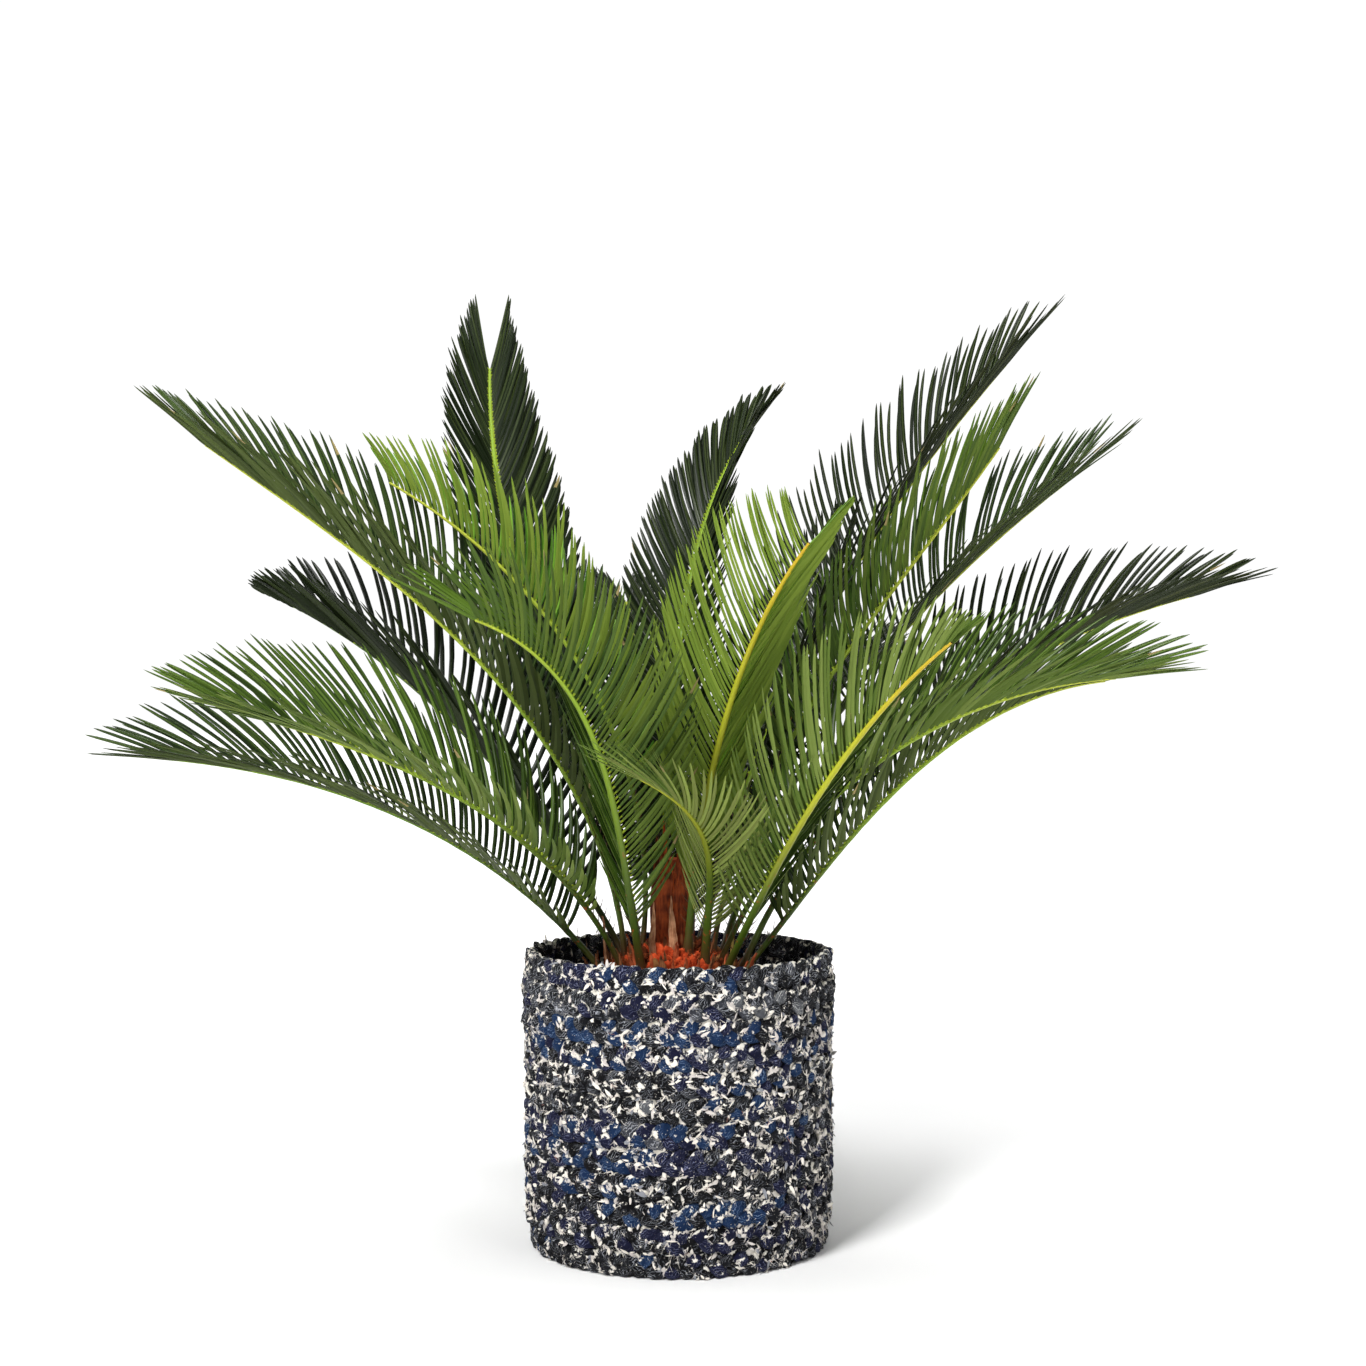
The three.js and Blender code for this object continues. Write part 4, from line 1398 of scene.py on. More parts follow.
@dataclass
class BraidedBasket:
    """Coils of flat three-strand braid, sewn edge to edge: a wall of rows and a flat bottom."""

    rows: int = 12
    periods: int = 20
    steps: int = 18
    corners: int = 14
    lateral: float = 5.2 * MM
    depth: float = 2.2 * MM
    half_width: float = 4.3 * MM
    half_thickness: float = 2.4 * MM
    band_thickness: float = 1.4 * MM
    band_steps: int = 96
    boxiness: float = 0.66
    waver: float = 0.75 * MM
    keep_cloth: float = 0.55
    lowest: float = 0.3 * MM
    puff: float = 0.1
    tilt: float = 0.16
    groove_places: Pair = (0.2, 0.8)
    groove_width: float = 0.3
    groove_depth: float = 0.3
    crumple: float = 0.04
    edge_places: Pair = (0.4, 0.98)
    wisps_on_lobe: tuple[int, int] = (3, 9)
    wisp_length_mm: Pair = (2.2, 6.4)
    wisp_width_mm: Pair = (0.8, 2.8)
    threads_on_lobe: tuple[int, int] = (8, 15)
    thread_length_mm: Pair = (2.0, 5.4)
    thread_radius: float = 0.24 * MM
    rng: Generator = field(default_factory=lambda: default_rng(77))

    # How often each cloth of Rag comes. Rows are counted from the bottom, and the rest are plain.
    PLAIN = (0.32, 0.36, 0.20, 0.06, 0.05, 0.01)
    DARK = (0.32, 0.48, 0.12, 0.04, 0.03, 0.01)
    BLUE = (0.14, 0.30, 0.24, 0.30, 0.02, 0.00)
    GREY = (0.32, 0.22, 0.18, 0.02, 0.20, 0.06)
    RIM = (0.40, 0.24, 0.26, 0.02, 0.08, 0.00)
    ROW_CLOTHS = {3: DARK, 4: BLUE, 5: BLUE, 6: DARK, 7: DARK, 8: BLUE, 9: BLUE, 10: GREY, 11: RIM}
    ROW_FRAY = {1: 0.76, 3: 0.76, 6: 0.76, 7: 0.76, 10: 0.4, 11: 0.4}
    PLAIN_FRAY = 0.62
    # Cottons by their index in Cotton: those that wisps draw from, and how often threads take each.
    WISP_COTTONS = (0, 0, 0, 1, 1, 2)
    THREAD_SHARES = (0.52, 0.2, 0.14, 0.12, 0.02)
    DRAWN_IN_MM = {0: 6.0, 1: 2.6, 9: 0.6, 10: 0.0, 11: 2.2}
    PLAIN_DRAWN_IN_MM = 2.0

    def __post_init__(self) -> None:
        """Reads the basket's size from the frame."""
        low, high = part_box("basket")
        self.height = high.z - low.z
        self.outer = 0.5 * (high.x - low.x)
        self.pitch = self.height / self.rows
        self.strand_reach = self.depth + self.half_thickness
        self.girth = math.pi * (self.half_width + self.half_thickness)

    def row_radius(self, row: int) -> float:
        """Gives the radius of a row's middle line, drawn in at the foot and out at the rim."""
        drawn_in = self.DRAWN_IN_MM.get(row, self.PLAIN_DRAWN_IN_MM) * MM
        return self.outer - drawn_in - self.strand_reach

    def build(self) -> None:
        """Builds the wall in three pieces, their frayed cotton, and the bottom."""
        girth = self.girth / MM
        cloths = {rag: DenimRag(f"denim_{rag.name.lower()}", *rag.value, girth).material() for rag in Rag}
        threads = [CottonThread(f"cotton_{one.name.lower()}", one.value).material() for one in Cotton]
        materials = list(cloths.values())
        third = self.rows // 3
        for name, first in (("lower", 0), ("middle", third), ("upper", 2 * third)):
            wall, fray = JoinedMesh(), JoinedMesh()
            for row in range(first, first + third):
                self.braid_row(wall, fray, row)
            report(wall.piece(f"basket_braid_{name}", materials, sharp=42.0), ["basket"])
            report(fray.piece(f"basket_fray_{name}", threads, sharp=80.0), ["basket"])
        self.lining(cloths[Rag.BLACK])
        bottom = JoinedMesh()
        self.bottom_coil(bottom)
        report(bottom.piece("basket_bottom", materials, sharp=42.0), ["basket"])

    def lining(self, cloth: Material) -> None:
        """Closes the slits between the wall's rows with a thin band of cloth at their middle line.

        Args:
            cloth: The band's material.
        """
        middle = [(self.row_radius(row), (row + 0.5) * self.pitch) for row in range(self.rows)]
        outer = [(radius + self.band_thickness / 2, height) for radius, height in middle]
        inner = [(radius - self.band_thickness / 2, height) for radius, height in reversed(middle)]
        band = spun(outer + inner + outer[:1], np.zeros(3), self.band_steps)
        report(bmesh_piece("basket_lining", band, [cloth], sharp=60.0), ["basket"])

    def wavering(self, turn: Array) -> Array:
        """Gives an uneven, closed wave round the ring, and shifts the whole ring a little.

        Args:
            turn: Angle round the ring at each step.

        Returns:
            How far each step strays.
        """
        waves = [
            math.sin(self.rng.uniform(0, math.tau)) + np.sin(count * turn + self.rng.uniform(0, math.tau))
            for count in self.rng.integers(9, 70, 4)
        ]
        return self.waver * (np.sum(waves, axis=0) - np.mean(waves)) / 2

    def strand(self, radius: float, height: float, periods: int, phase: float, flat: bool) -> Strand:
        """Works out one strand of a ring of braid.

        Args:
            radius: Radius of the braid's middle line.
            height: Height of it.
            periods: Times that the strand crosses over and back in the turn.
            phase: Where in its crossing it starts.
            flat: Whether the braid lies flat, as in the bottom, instead of standing.

        Returns:
            The strand.
        """
        count = periods * self.steps
        turn = np.arange(count) * math.tau / count
        swing = turn * periods + phase
        lateral = self.lateral * np.sin(swing) + self.wavering(turn)
        depth = self.depth * np.sin(2 * swing) + 0.6 * self.wavering(turn)
        outward = np.stack([np.cos(turn), np.sin(turn), np.zeros(count)], -1)
        if flat:
            line = outward * (radius + lateral)[:, None] + UP * (height - depth)[:, None]
            face = np.broadcast_to(-UP, line.shape)
        else:
            line = outward * (radius + depth)[:, None] + UP * (height + lateral)[:, None]
            face = outward
        along = unit(np.roll(line, -1, axis=0) - np.roll(line, 1, axis=0))
        face = unit(face - along * np.sum(face * along, axis=1)[:, None])
        return Strand(line, along, face, np.cross(face, along), swing)

    def cloths(self, count: int, shares: Sequence[float]) -> Array:
        """Deals out the cloth of each lobe of a strand, in short runs.

        Args:
            count: Number of lobes.
            shares: How often each cloth comes, in the order of Rag.

        Returns:
            Material index of each lobe.
        """
        drawn = self.rng.choice(len(Rag), size=count, p=shares)
        for index in range(1, count):
            if self.rng.random() < self.keep_cloth:
                drawn[index] = drawn[index - 1]
        return drawn

    def tube(self, mesh: JoinedMesh, strand: Strand, cloth: Array) -> None:
        """Adds one strand as a flattened tube with folds along it.

        Args:
            mesh: Takes the tube.
            strand: The strand.
            cloth: Material index of each lobe.
        """
        lobe = strand.lobes()
        count = lobe.max() + 1
        turns = np.arange(self.corners) * math.tau / self.corners
        boxed_cos = np.sign(np.cos(turns)) * np.abs(np.cos(turns)) ** self.boxiness
        boxed_sin = np.sign(np.sin(turns)) * np.abs(np.sin(turns)) ** self.boxiness
        puff = 1 + self.puff * np.cos(4 * strand.swing - math.pi)
        puff += self.rng.normal(0, self.puff, count)[lobe]
        tilt = self.rng.normal(0, self.tilt, count)[lobe][:, None]
        groove_at = self.rng.uniform(*self.groove_places, (2, count))[:, lobe][..., None] * math.pi
        grooves = np.exp(-(((turns - groove_at) / self.groove_width) ** 2)).sum(axis=0)
        crumples = self.rng.normal(0, self.crumple, (len(lobe), self.corners))
        creased = 1 - self.groove_depth * np.minimum(grooves, 1.0) + crumples
        wide = (self.half_width * puff)[:, None] * boxed_cos
        high = (self.half_thickness * puff)[:, None] * (boxed_sin * creased + tilt * boxed_cos)
        rings = (
            strand.line[:, None]
            + strand.across[:, None] * wide[..., None]
            + strand.face[:, None] * high[..., None]
        )
        rings[..., 2] = np.maximum(rings[..., 2], self.lowest)
        steps = np.linalg.norm(np.roll(strand.line, -1, axis=0) - strand.line, axis=1)
        along = np.concatenate([[0.0], np.cumsum(steps)])
        around = np.linspace(0, self.girth, self.corners + 1)
        tones = cloth[lobe % len(cloth)][None, :, None] + np.zeros((1, 1, self.corners), int)
        mesh.add_tubes(rings[None], tones, along=along[None], around=around, closed_loop=True)

    def braid_row(self, wall: JoinedMesh, fray: JoinedMesh, row: int) -> None:
        """Adds one row of the wall.

        Args:
            wall: Takes the strands.
            fray: Takes the loose threads.
            row: The row's number from the bottom.
        """
        start = self.rng.uniform(0, math.tau)
        for strand_number in range(3):
            phase = start + strand_number * math.tau / 3
            height = (row + 0.5) * self.pitch
            strand = self.strand(self.row_radius(row), height, self.periods, phase, flat=False)
            cloth = self.cloths(2 * self.periods, self.ROW_CLOTHS.get(row, self.PLAIN))
            self.tube(wall, strand, cloth)
            self.fray_strand(fray, strand, row)

    def fray_strand(self, fray: JoinedMesh, strand: Strand, row: int) -> None:
        """Adds matted wisps and loose threads along a strand's torn edges.

        Args:
            fray: Takes the wisps and threads.
            strand: The strand.
            row: The row's number from the bottom.
        """
        lobe = strand.lobes()
        often = self.ROW_FRAY.get(row, self.PLAIN_FRAY)
        for number in range(lobe.max() + 1):
            if self.rng.random() > often:
                continue
            places = np.flatnonzero((lobe == number) & (np.sin(2 * strand.swing) > 0.1))
            if len(places):
                self.fray_lobe(fray, strand, places, self.rng.choice([-1.0, 1.0]))

    def on_edge(
        self, strand: Strand, places: Array, edge: float, often: tuple[int, int]
    ) -> tuple[Array, Array, Array]:
        """Draws places on the outer face of a strand, near one edge.

        Args:
            strand: The strand.
            places: Steps along it to draw from.
            edge: Which edge, as 1 or -1.
            often: The fewest places, and one more than the most.

        Returns:
            The steps, the places there, and the directions out of the surface.
        """
        count = int(self.rng.integers(*often))
        at = self.rng.choice(places, size=count)
        offset = edge * self.rng.uniform(*self.edge_places, (count, 1))
        bulge = np.sqrt(np.maximum(1 - offset**2, 0.0)) ** self.boxiness
        spots = (
            strand.line[at]
            + strand.across[at] * offset * self.half_width
            + strand.face[at] * bulge * self.half_thickness
        )
        return at, spots, unit(strand.face[at] * (0.4 + bulge) + strand.across[at] * offset)

    def fray_lobe(self, fray: JoinedMesh, strand: Strand, places: Array, edge: float) -> None:
        """Adds the matted wisps of one lobe, which lie along its edge, and its loose threads.

        Args:
            fray: Takes them.
            strand: The strand.
            places: Steps of the lobe that show.
            edge: Which edge, as 1 or -1.
        """
        at, spots, face = self.on_edge(strand, places, edge, self.wisps_on_lobe)
        column = (len(at), 1)
        forward = self.rng.choice([-1.0, 1.0], column) * self.rng.uniform(0.2, 1.0, column)
        sideways = edge * self.rng.uniform(-0.3, 1.0, column)
        out = unit(strand.along[at] * forward + strand.across[at] * sideways + face * 0.12)
        bend = self.rng.normal(0, 0.22, (len(at), 3)) - 0.2 * face
        lengths = self.rng.uniform(*self.wisp_length_mm, column) * MM
        widths = self.rng.uniform(*self.wisp_width_mm, column) * MM
        tone = self.rng.choice(self.WISP_COTTONS, size=len(at))
        self.add_fray(fray, wisps(spots + face * 0.25 * MM, out, bend, face, lengths, widths), tone)

        at, spots, face = self.on_edge(strand, places, edge, self.threads_on_lobe)
        column = (len(at), 1)
        sideways = edge + self.rng.normal(0, 0.5, column)
        forward = self.rng.normal(0, 0.8, column)
        outward = self.rng.uniform(0.05, 0.5, column)
        out = unit(strand.across[at] * sideways + strand.along[at] * forward + face * outward)
        bend = self.rng.normal(0, 0.3, (len(at), 3)) - 0.12 * UP - 0.25 * face
        lengths = self.rng.uniform(*self.thread_length_mm, column) * MM
        tone = self.rng.choice(len(Cotton), size=len(at), p=self.THREAD_SHARES)
        self.add_fray(fray, needles(spots, out, bend, lengths, self.thread_radius, 3), tone)

    def add_fray(self, fray: JoinedMesh, points: Array, tone: Array) -> None:
        """Adds wisps or threads, and keeps them above the floor."""
        points[..., 2] = np.maximum(points[..., 2], self.lowest)
        fray.add_tubes(points, tone[:, None, None])

    def bottom_coil(self, mesh: JoinedMesh) -> None:
        """Adds the flat bottom: rings of braid that lie flat, one inside the other.

        Args:
            mesh: Takes the strands.
        """
        radius = self.row_radius(0) - 0.75 * self.pitch
        while radius > 0.4 * self.pitch:
            periods = max(int(round(self.periods * radius / self.row_radius(1))), 2)
            for strand_number in range(3):
                phase = strand_number * math.tau / 3 + radius / MM
                strand = self.strand(radius, self.strand_reach + 0.5 * MM, periods, phase, flat=True)
                self.tube(mesh, strand, self.cloths(2 * periods, self.PLAIN))
            radius -= 0.96 * self.pitch


# ---------------- pot, soil and trunk


@dataclass
class NurseryPot:
    """Thin tapering plastic pot with a rolled lip."""

    wall: float = 1.6 * MM
    lip: float = 3.0 * MM
    lip_height: float = 12.0 * MM
    base_radius: float = 66.0 * MM
    hollow: float = 1.2 * MM
    floor_height: float = 3.2 * MM
    steps: int = 96

    def build(self) -> None:
        """Builds the pot."""
        low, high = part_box("nursery_pot")
        rim = 0.5 * (high.x - low.x) - self.lip
        top, bottom = high.z, low.z
        lip_foot = top - self.lip_height
        at_lip = rim - (rim - self.base_radius) * self.lip_height / (top - bottom)
        profile = [
            (0.0, bottom + self.hollow),
            (0.72 * self.base_radius, bottom + self.hollow),
            (0.75 * self.base_radius, bottom),
            (self.base_radius - 1.5 * MM, bottom),
            (self.base_radius, bottom + 1.5 * MM),
            (at_lip, lip_foot - 0.8 * MM),
            (at_lip + self.lip - 0.6 * MM, lip_foot),
            (at_lip + self.lip, lip_foot + 0.8 * MM),
            (rim + self.lip, top - 1.2 * MM),
            (rim + self.lip - 1.0 * MM, top),
            (rim - self.wall + 0.4 * MM, top),
            (rim - self.wall, top - 0.8 * MM),
            (self.base_radius - self.wall, bottom + self.floor_height),
            (0.0, bottom + self.floor_height),
        ]
        form = spun(profile, np.zeros(3), self.steps)
        piece = bmesh_piece("nursery_pot_shell", form, [BlownPolypropylene().material()])
        report(piece, ["nursery_pot"])


@dataclass
class PottingMix:
    """Damp mix in the pot, with crumbs of bark and peat on top."""

    steps: int = 72
    rings: int = 22
    crumbs: int = 620
    crumb_mm: Pair = (1.0, 3.4)
    gap: float = 1.0 * MM
    roughness: float = 1.6 * MM
    rng: Generator = field(default_factory=lambda: default_rng(31))

    def build(self) -> None:
        """Builds the body of the mix and its crumbs."""
        low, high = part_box("soil")
        radius = 0.5 * (high.x - low.x) - self.gap
        surface = [(radius * (1 - ring / self.rings), high.z - self.gap) for ring in range(self.rings + 1)]
        profile = [(0.0, low.z), (0.8 * radius, low.z), (radius, high.z - 5 * MM), *surface]
        form = spun(profile, np.zeros(3), self.steps)
        for corner in form.verts:
            if corner.co.z > high.z - 2 * MM:
                corner.co.z += self.roughness * noise.fractal(corner.co * 90, 1.0, 2.0, 4)
        peat = DampPeat("damp_peat", "1d1511", "3f2f24").material()
        bark = DampPeat("bark_crumb", "33231a", "6a4c33", crumb_mm=2.0).material()
        report(bmesh_piece("potting_mix", form, [peat]), ["soil"])
        report(self.crumb_mesh(radius, high.z, [peat, bark]), [])

    def crumb_mesh(self, radius: float, top: float, materials: Sequence[Material]) -> Object:
        """Scatters crumbs over the mix.

        Args:
            radius: Radius of the mix's surface.
            top: Height of it.
            materials: Peat and bark.

        Returns:
            The crumbs' piece.
        """
        form = bmesh.new()
        low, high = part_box("caudex")
        inner = 0.5 * (high.x - low.x) - 6 * MM
        for _ in range(self.crumbs):
            turn = self.rng.uniform(0, math.tau)
            reach = math.sqrt(self.rng.uniform(inner**2, (radius - 2 * MM) ** 2))
            size = self.rng.uniform(*self.crumb_mm) * MM
            place = Matrix.Translation((reach * math.cos(turn), reach * math.sin(turn), top + 0.1 * size))
            turned = Matrix.Rotation(self.rng.uniform(0, math.tau), 4, self.rng.normal(size=3))
            shape = Matrix.Diagonal((size, size * self.rng.uniform(0.4, 0.9), size * 0.5, 1.0))
            placing = place @ turned @ shape
            made = bmesh.ops.create_icosphere(form, subdivisions=1, radius=1.0, matrix=placing)
            tone = int(self.rng.random() < 0.45)
            for face in {face for corner in made["verts"] for face in corner.link_faces}:
                face.material_index = tone
        return bmesh_piece("potting_crumbs", form, materials, sharp=20.0)


@dataclass
class CaudexTrunk:
    """Squat trunk covered with the knobs of old leaf bases, woolly where it is young."""

    dome: CrownDome
    steps: int = 132
    knobs: int = 17
    knob_relief: float = 2.0 * MM
    foot_share: float = 0.84
    belly_at: float = 0.36
    cushions: int = 430
    cushion_mm: Pair = (1.6, 3.7)
    painted_light_heading: float = -86.0
    hairs: int = 11000
    hair_mm: Pair = (1.0, 3.2)
    hair_radius: float = 0.17 * MM
    rng: Generator = field(default_factory=lambda: default_rng(12))

    def build(self) -> None:
        """Builds the trunk, the cushions of its crown and their hair."""
        low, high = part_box("caudex")
        belly = 0.5 * (high.x - low.x) - self.knob_relief
        profile = [(0.0, low.z), (self.foot_share * belly, low.z)]
        middle = low.z + self.belly_at * (high.z - low.z)
        for height in np.linspace(low.z + 2 * MM, high.z - self.dome.drop, 14):
            fall = (height - middle) / (high.z - low.z)
            drawn_in = 0.42 * fall**2 + (0.1 if height < middle else 0.0) * abs(fall)
            profile.append((belly * (1 - drawn_in), height))
        edge = profile[-1][0]
        for share in np.linspace(0.96, 0.0, 24):
            radius = float(edge * share)
            profile.append((radius, float(self.dome.height(np.array(radius))) - 1.0 * MM))
        form = spun(profile, self.dome.axis, self.steps)
        self.relief(form, belly, low.z)
        bark = FibrousHusk("caudex_bark", "3c2416", "8a5a36", grain_mm=2.2, relief_mm=1.0).material()
        report(bmesh_piece("caudex_trunk", form, [bark], sharp=60.0), ["caudex"])
        self.crown_wool()

    def relief(self, form: BMesh, belly: float, bottom: float) -> None:
        """Raises the knobs of old leaf bases, in crossing spirals, on the trunk's side.

        Args:
            form: The trunk.
            belly: Its radius.
            bottom: Height of its foot.
        """
        for corner in form.verts:
            apart = np.array([corner.co.x, corner.co.y]) - self.dome.axis[:2]
            radius = float(np.hypot(*apart))
            if radius < 0.3 * belly or corner.co.z < bottom + 1 * MM:
                continue
            turn = math.atan2(apart[1], apart[0])
            rise = (corner.co.z - bottom + 0.8 * (belly - radius)) / belly * 8.0
            knob = abs(math.sin(0.5 * self.knobs * turn + rise) * math.sin(0.5 * self.knobs * turn - rise))
            rough = noise.fractal(corner.co * 160, 1.0, 2.0, 4)
            swell = self.knob_relief * (knob**0.7 - 0.35) + 0.7 * MM * rough
            corner.co.x += swell * apart[0] / radius
            corner.co.y += swell * apart[1] / radius
            corner.co.z += 0.3 * swell

    def crown_wool(self) -> None:
        """Builds the woolly tufts between the stems and the hair that stands out of them."""
        wools = [
            WoollyFelt("wool_rust", "3e1a0c", "7c3a1c").material(),
            WoollyFelt("wool_orange", "842a10", "c64e28").material(),
            WoollyFelt("wool_tan", "4e3018", "8a5e38").material(),
        ]
        form = bmesh.new()
        cushions = []
        for index in range(self.cushions):
            share = (index + 0.5) / self.cushions
            reach = (13 + 42 * math.sqrt(share)) * MM + self.rng.normal(0, 1.5 * MM)
            turn = index * GOLDEN_ANGLE
            spot = self.dome.axis + np.array([reach * math.cos(turn), reach * math.sin(turn), 0.0])
            size = self.rng.uniform(*self.cushion_mm) * MM * (1.15 - 0.3 * share)
            spot[2] = float(self.dome.height(np.array(reach))) + self.rng.uniform(-0.2, 0.9) * size
            lean = unit(np.array([math.cos(turn), math.sin(turn), 2.2]) + self.rng.normal(0, 0.25, 3))
            # Painted light: tufts that face the front take the bright orange wool more often, and their
            # hair follows them; towards the middle, where the wool is young, they do so more often too.
            glow = max(math.cos(turn - math.radians(self.painted_light_heading)), 0.0) ** 1.5
            bright = self.rng.random() < glow * (1.25 - 0.8 * share)
            tone = 1 if bright else int(self.rng.choice([0, 0, 0, 2]))
            cushions.append((spot, lean, size, tone))
            self.cushion(form, spot, lean, size, tone)
        report(bmesh_piece("crown_wool", form, wools, sharp=80.0), [])
        self.hair(*[np.array(column) for column in zip(*cushions)])

    def cushion(self, form: BMesh, spot: Array, lean: Array, size: float, tone: int) -> None:
        """Adds one tuft: a lumpy cone with a rounded top.

        Args:
            form: Takes the tuft.
            spot: Its middle.
            lean: The direction that it points in.
            size: Its radius.
            tone: Its material index.
        """
        turned = Vector(lean).to_track_quat("Z", "Y").to_matrix().to_4x4()
        broad, tall = self.rng.uniform(0.7, 1.0), self.rng.uniform(1.4, 2.6)
        shape = Matrix.Diagonal((size, size * broad, size * tall, 1.0))
        place = Matrix.Translation(spot) @ turned @ shape
        made = bmesh.ops.create_icosphere(form, subdivisions=2, radius=1.0, matrix=place)
        for corner in made["verts"]:
            rough = noise.fractal(corner.co * 420, 1.0, 2.0, 2)
            corner.co += (corner.co - Vector(spot)).normalized() * 0.3 * size * rough
        for face in {face for corner in made["verts"] for face in corner.link_faces}:
            face.material_index = tone

    def hair(self, centres: Array, normals: Array, sizes: Array, tones: Array) -> None:
        """Adds short hair over the cushions.

        Args:
            centres: Middles of the cushions.
            normals: Directions that they point in.
            sizes: Their radii.
            tones: Their material indexes.
        """
        which = self.rng.integers(0, len(centres), self.hairs)
        aim = unit(self.rng.normal(size=(self.hairs, 3)) + 0.9 * normals[which])
        stretched = aim * (1 + 0.5 * np.abs(np.sum(aim * normals[which], axis=1)))[:, None]
        roots = centres[which] + stretched * sizes[which][:, None] * 0.92
        bend = self.rng.normal(0, 0.25, (self.hairs, 3))
        lengths = self.rng.uniform(*self.hair_mm, (self.hairs, 1)) * MM
        mesh = JoinedMesh()
        mesh.add_tubes(needles(roots, aim, bend, lengths, self.hair_radius, 3), tones[which][:, None, None])
        threads = [
            CottonThread("hair_rust", "743a1e").material(),
            CottonThread("hair_orange", "c85a30").material(),
            CottonThread("hair_tan", "96704a").material(),
        ]
        report(mesh.piece("crown_hair", threads, sharp=80.0), [])


# ---------------- bud and scale leaves


@dataclass(frozen=True)
class Scale:
    """One dry blade: where it stands, where it points, and its size."""

    foot: Array
    tip: Array
    outward: Array
    width: float
    tone: int
    curl: float = 0.16
    taper: float = 0.75
    flick: float = 0.0
    ragged: bool = False


class ScaleBlades:
    """Lance-shaped dry blades that are hollow towards the axis, joined into one mesh."""

    PLACES = np.linspace(0, 1, 10)
    ACROSS = np.linspace(-1, 1, 7)
    THICKNESS = 0.7 * MM
    BOW = 0.06
    FLICK_FROM = 0.6
    RAGGEDNESS = 0.13
    FIBRE_RADIUS = 0.25 * MM

    def __init__(self, rng: Generator) -> None:
        """Starts with no blades.

        Args:
            rng: Random source.
        """
        self.rng = rng
        self.mesh = JoinedMesh()

    def add(self, scale: Scale) -> None:
        """Adds one blade as a thin closed shell.

        Args:
            scale: The blade.
        """
        along = scale.tip - scale.foot
        length = float(np.linalg.norm(along))
        along = along / length
        across = unit(np.cross(along, scale.outward))
        back = np.cross(across, along)
        places = self.PLACES[:, None]
        width = 0.5 * scale.width * (1 - places) ** scale.taper * (1 + 0.5 * places)
        width = np.maximum(width, 0.3 * MM)
        wave = self.rng.normal(0, 0.05, (len(self.PLACES), 1)) * scale.width
        hollow = scale.curl * scale.width * (1 - self.ACROSS[None, :] ** 2) * (1 - 0.6 * places)
        bow = self.BOW * length * np.sin(math.pi * places)
        bow -= scale.flick * length * np.maximum(places - self.FLICK_FROM, 0) ** 2
        ridge = self.rng.normal(0, 0.12 * MM, (len(self.PLACES), len(self.ACROSS)))
        split = np.zeros((len(self.PLACES), len(self.ACROSS)))
        if scale.ragged:
            splits = self.rng.normal(0, self.RAGGEDNESS, len(self.ACROSS)) * length
            split[-3:] = splits * np.array([[0.3], [0.7], [1.0]])
        line = scale.foot + along * places * length
        grid = (
            line[:, None]
            + across * (width * self.ACROSS[None, :] + wave)[..., None]
            + back * (hollow + bow + ridge)[..., None]
            + along * split[..., None]
        )
        inner = grid - back * self.THICKNESS
        rings = np.concatenate([grid, inner[:, ::-1]], axis=1)
        self.mesh.add_tubes(rings[None], np.full((1, 1, 1), scale.tone), flip=True)

    def add_fibres(self, roots: Array, aim: Array, length: float, tone: int) -> None:
        """Adds loose fibres at the torn ends of blades.

        Args:
            roots: Where they start.
            aim: Where they point.
            length: Their usual length.
            tone: Their material index.
        """
        count = len(roots)
        out = unit(aim + self.rng.normal(0, 0.3, (count, 3)))
        bend = self.rng.normal(0, 0.25, (count, 3))
        lengths = length * self.rng.uniform(0.5, 1.3, (count, 1))
        fibres = needles(roots, out, bend, lengths, self.FIBRE_RADIUS, 4)
        self.mesh.add_tubes(fibres, np.full((1, 1, 1), tone))


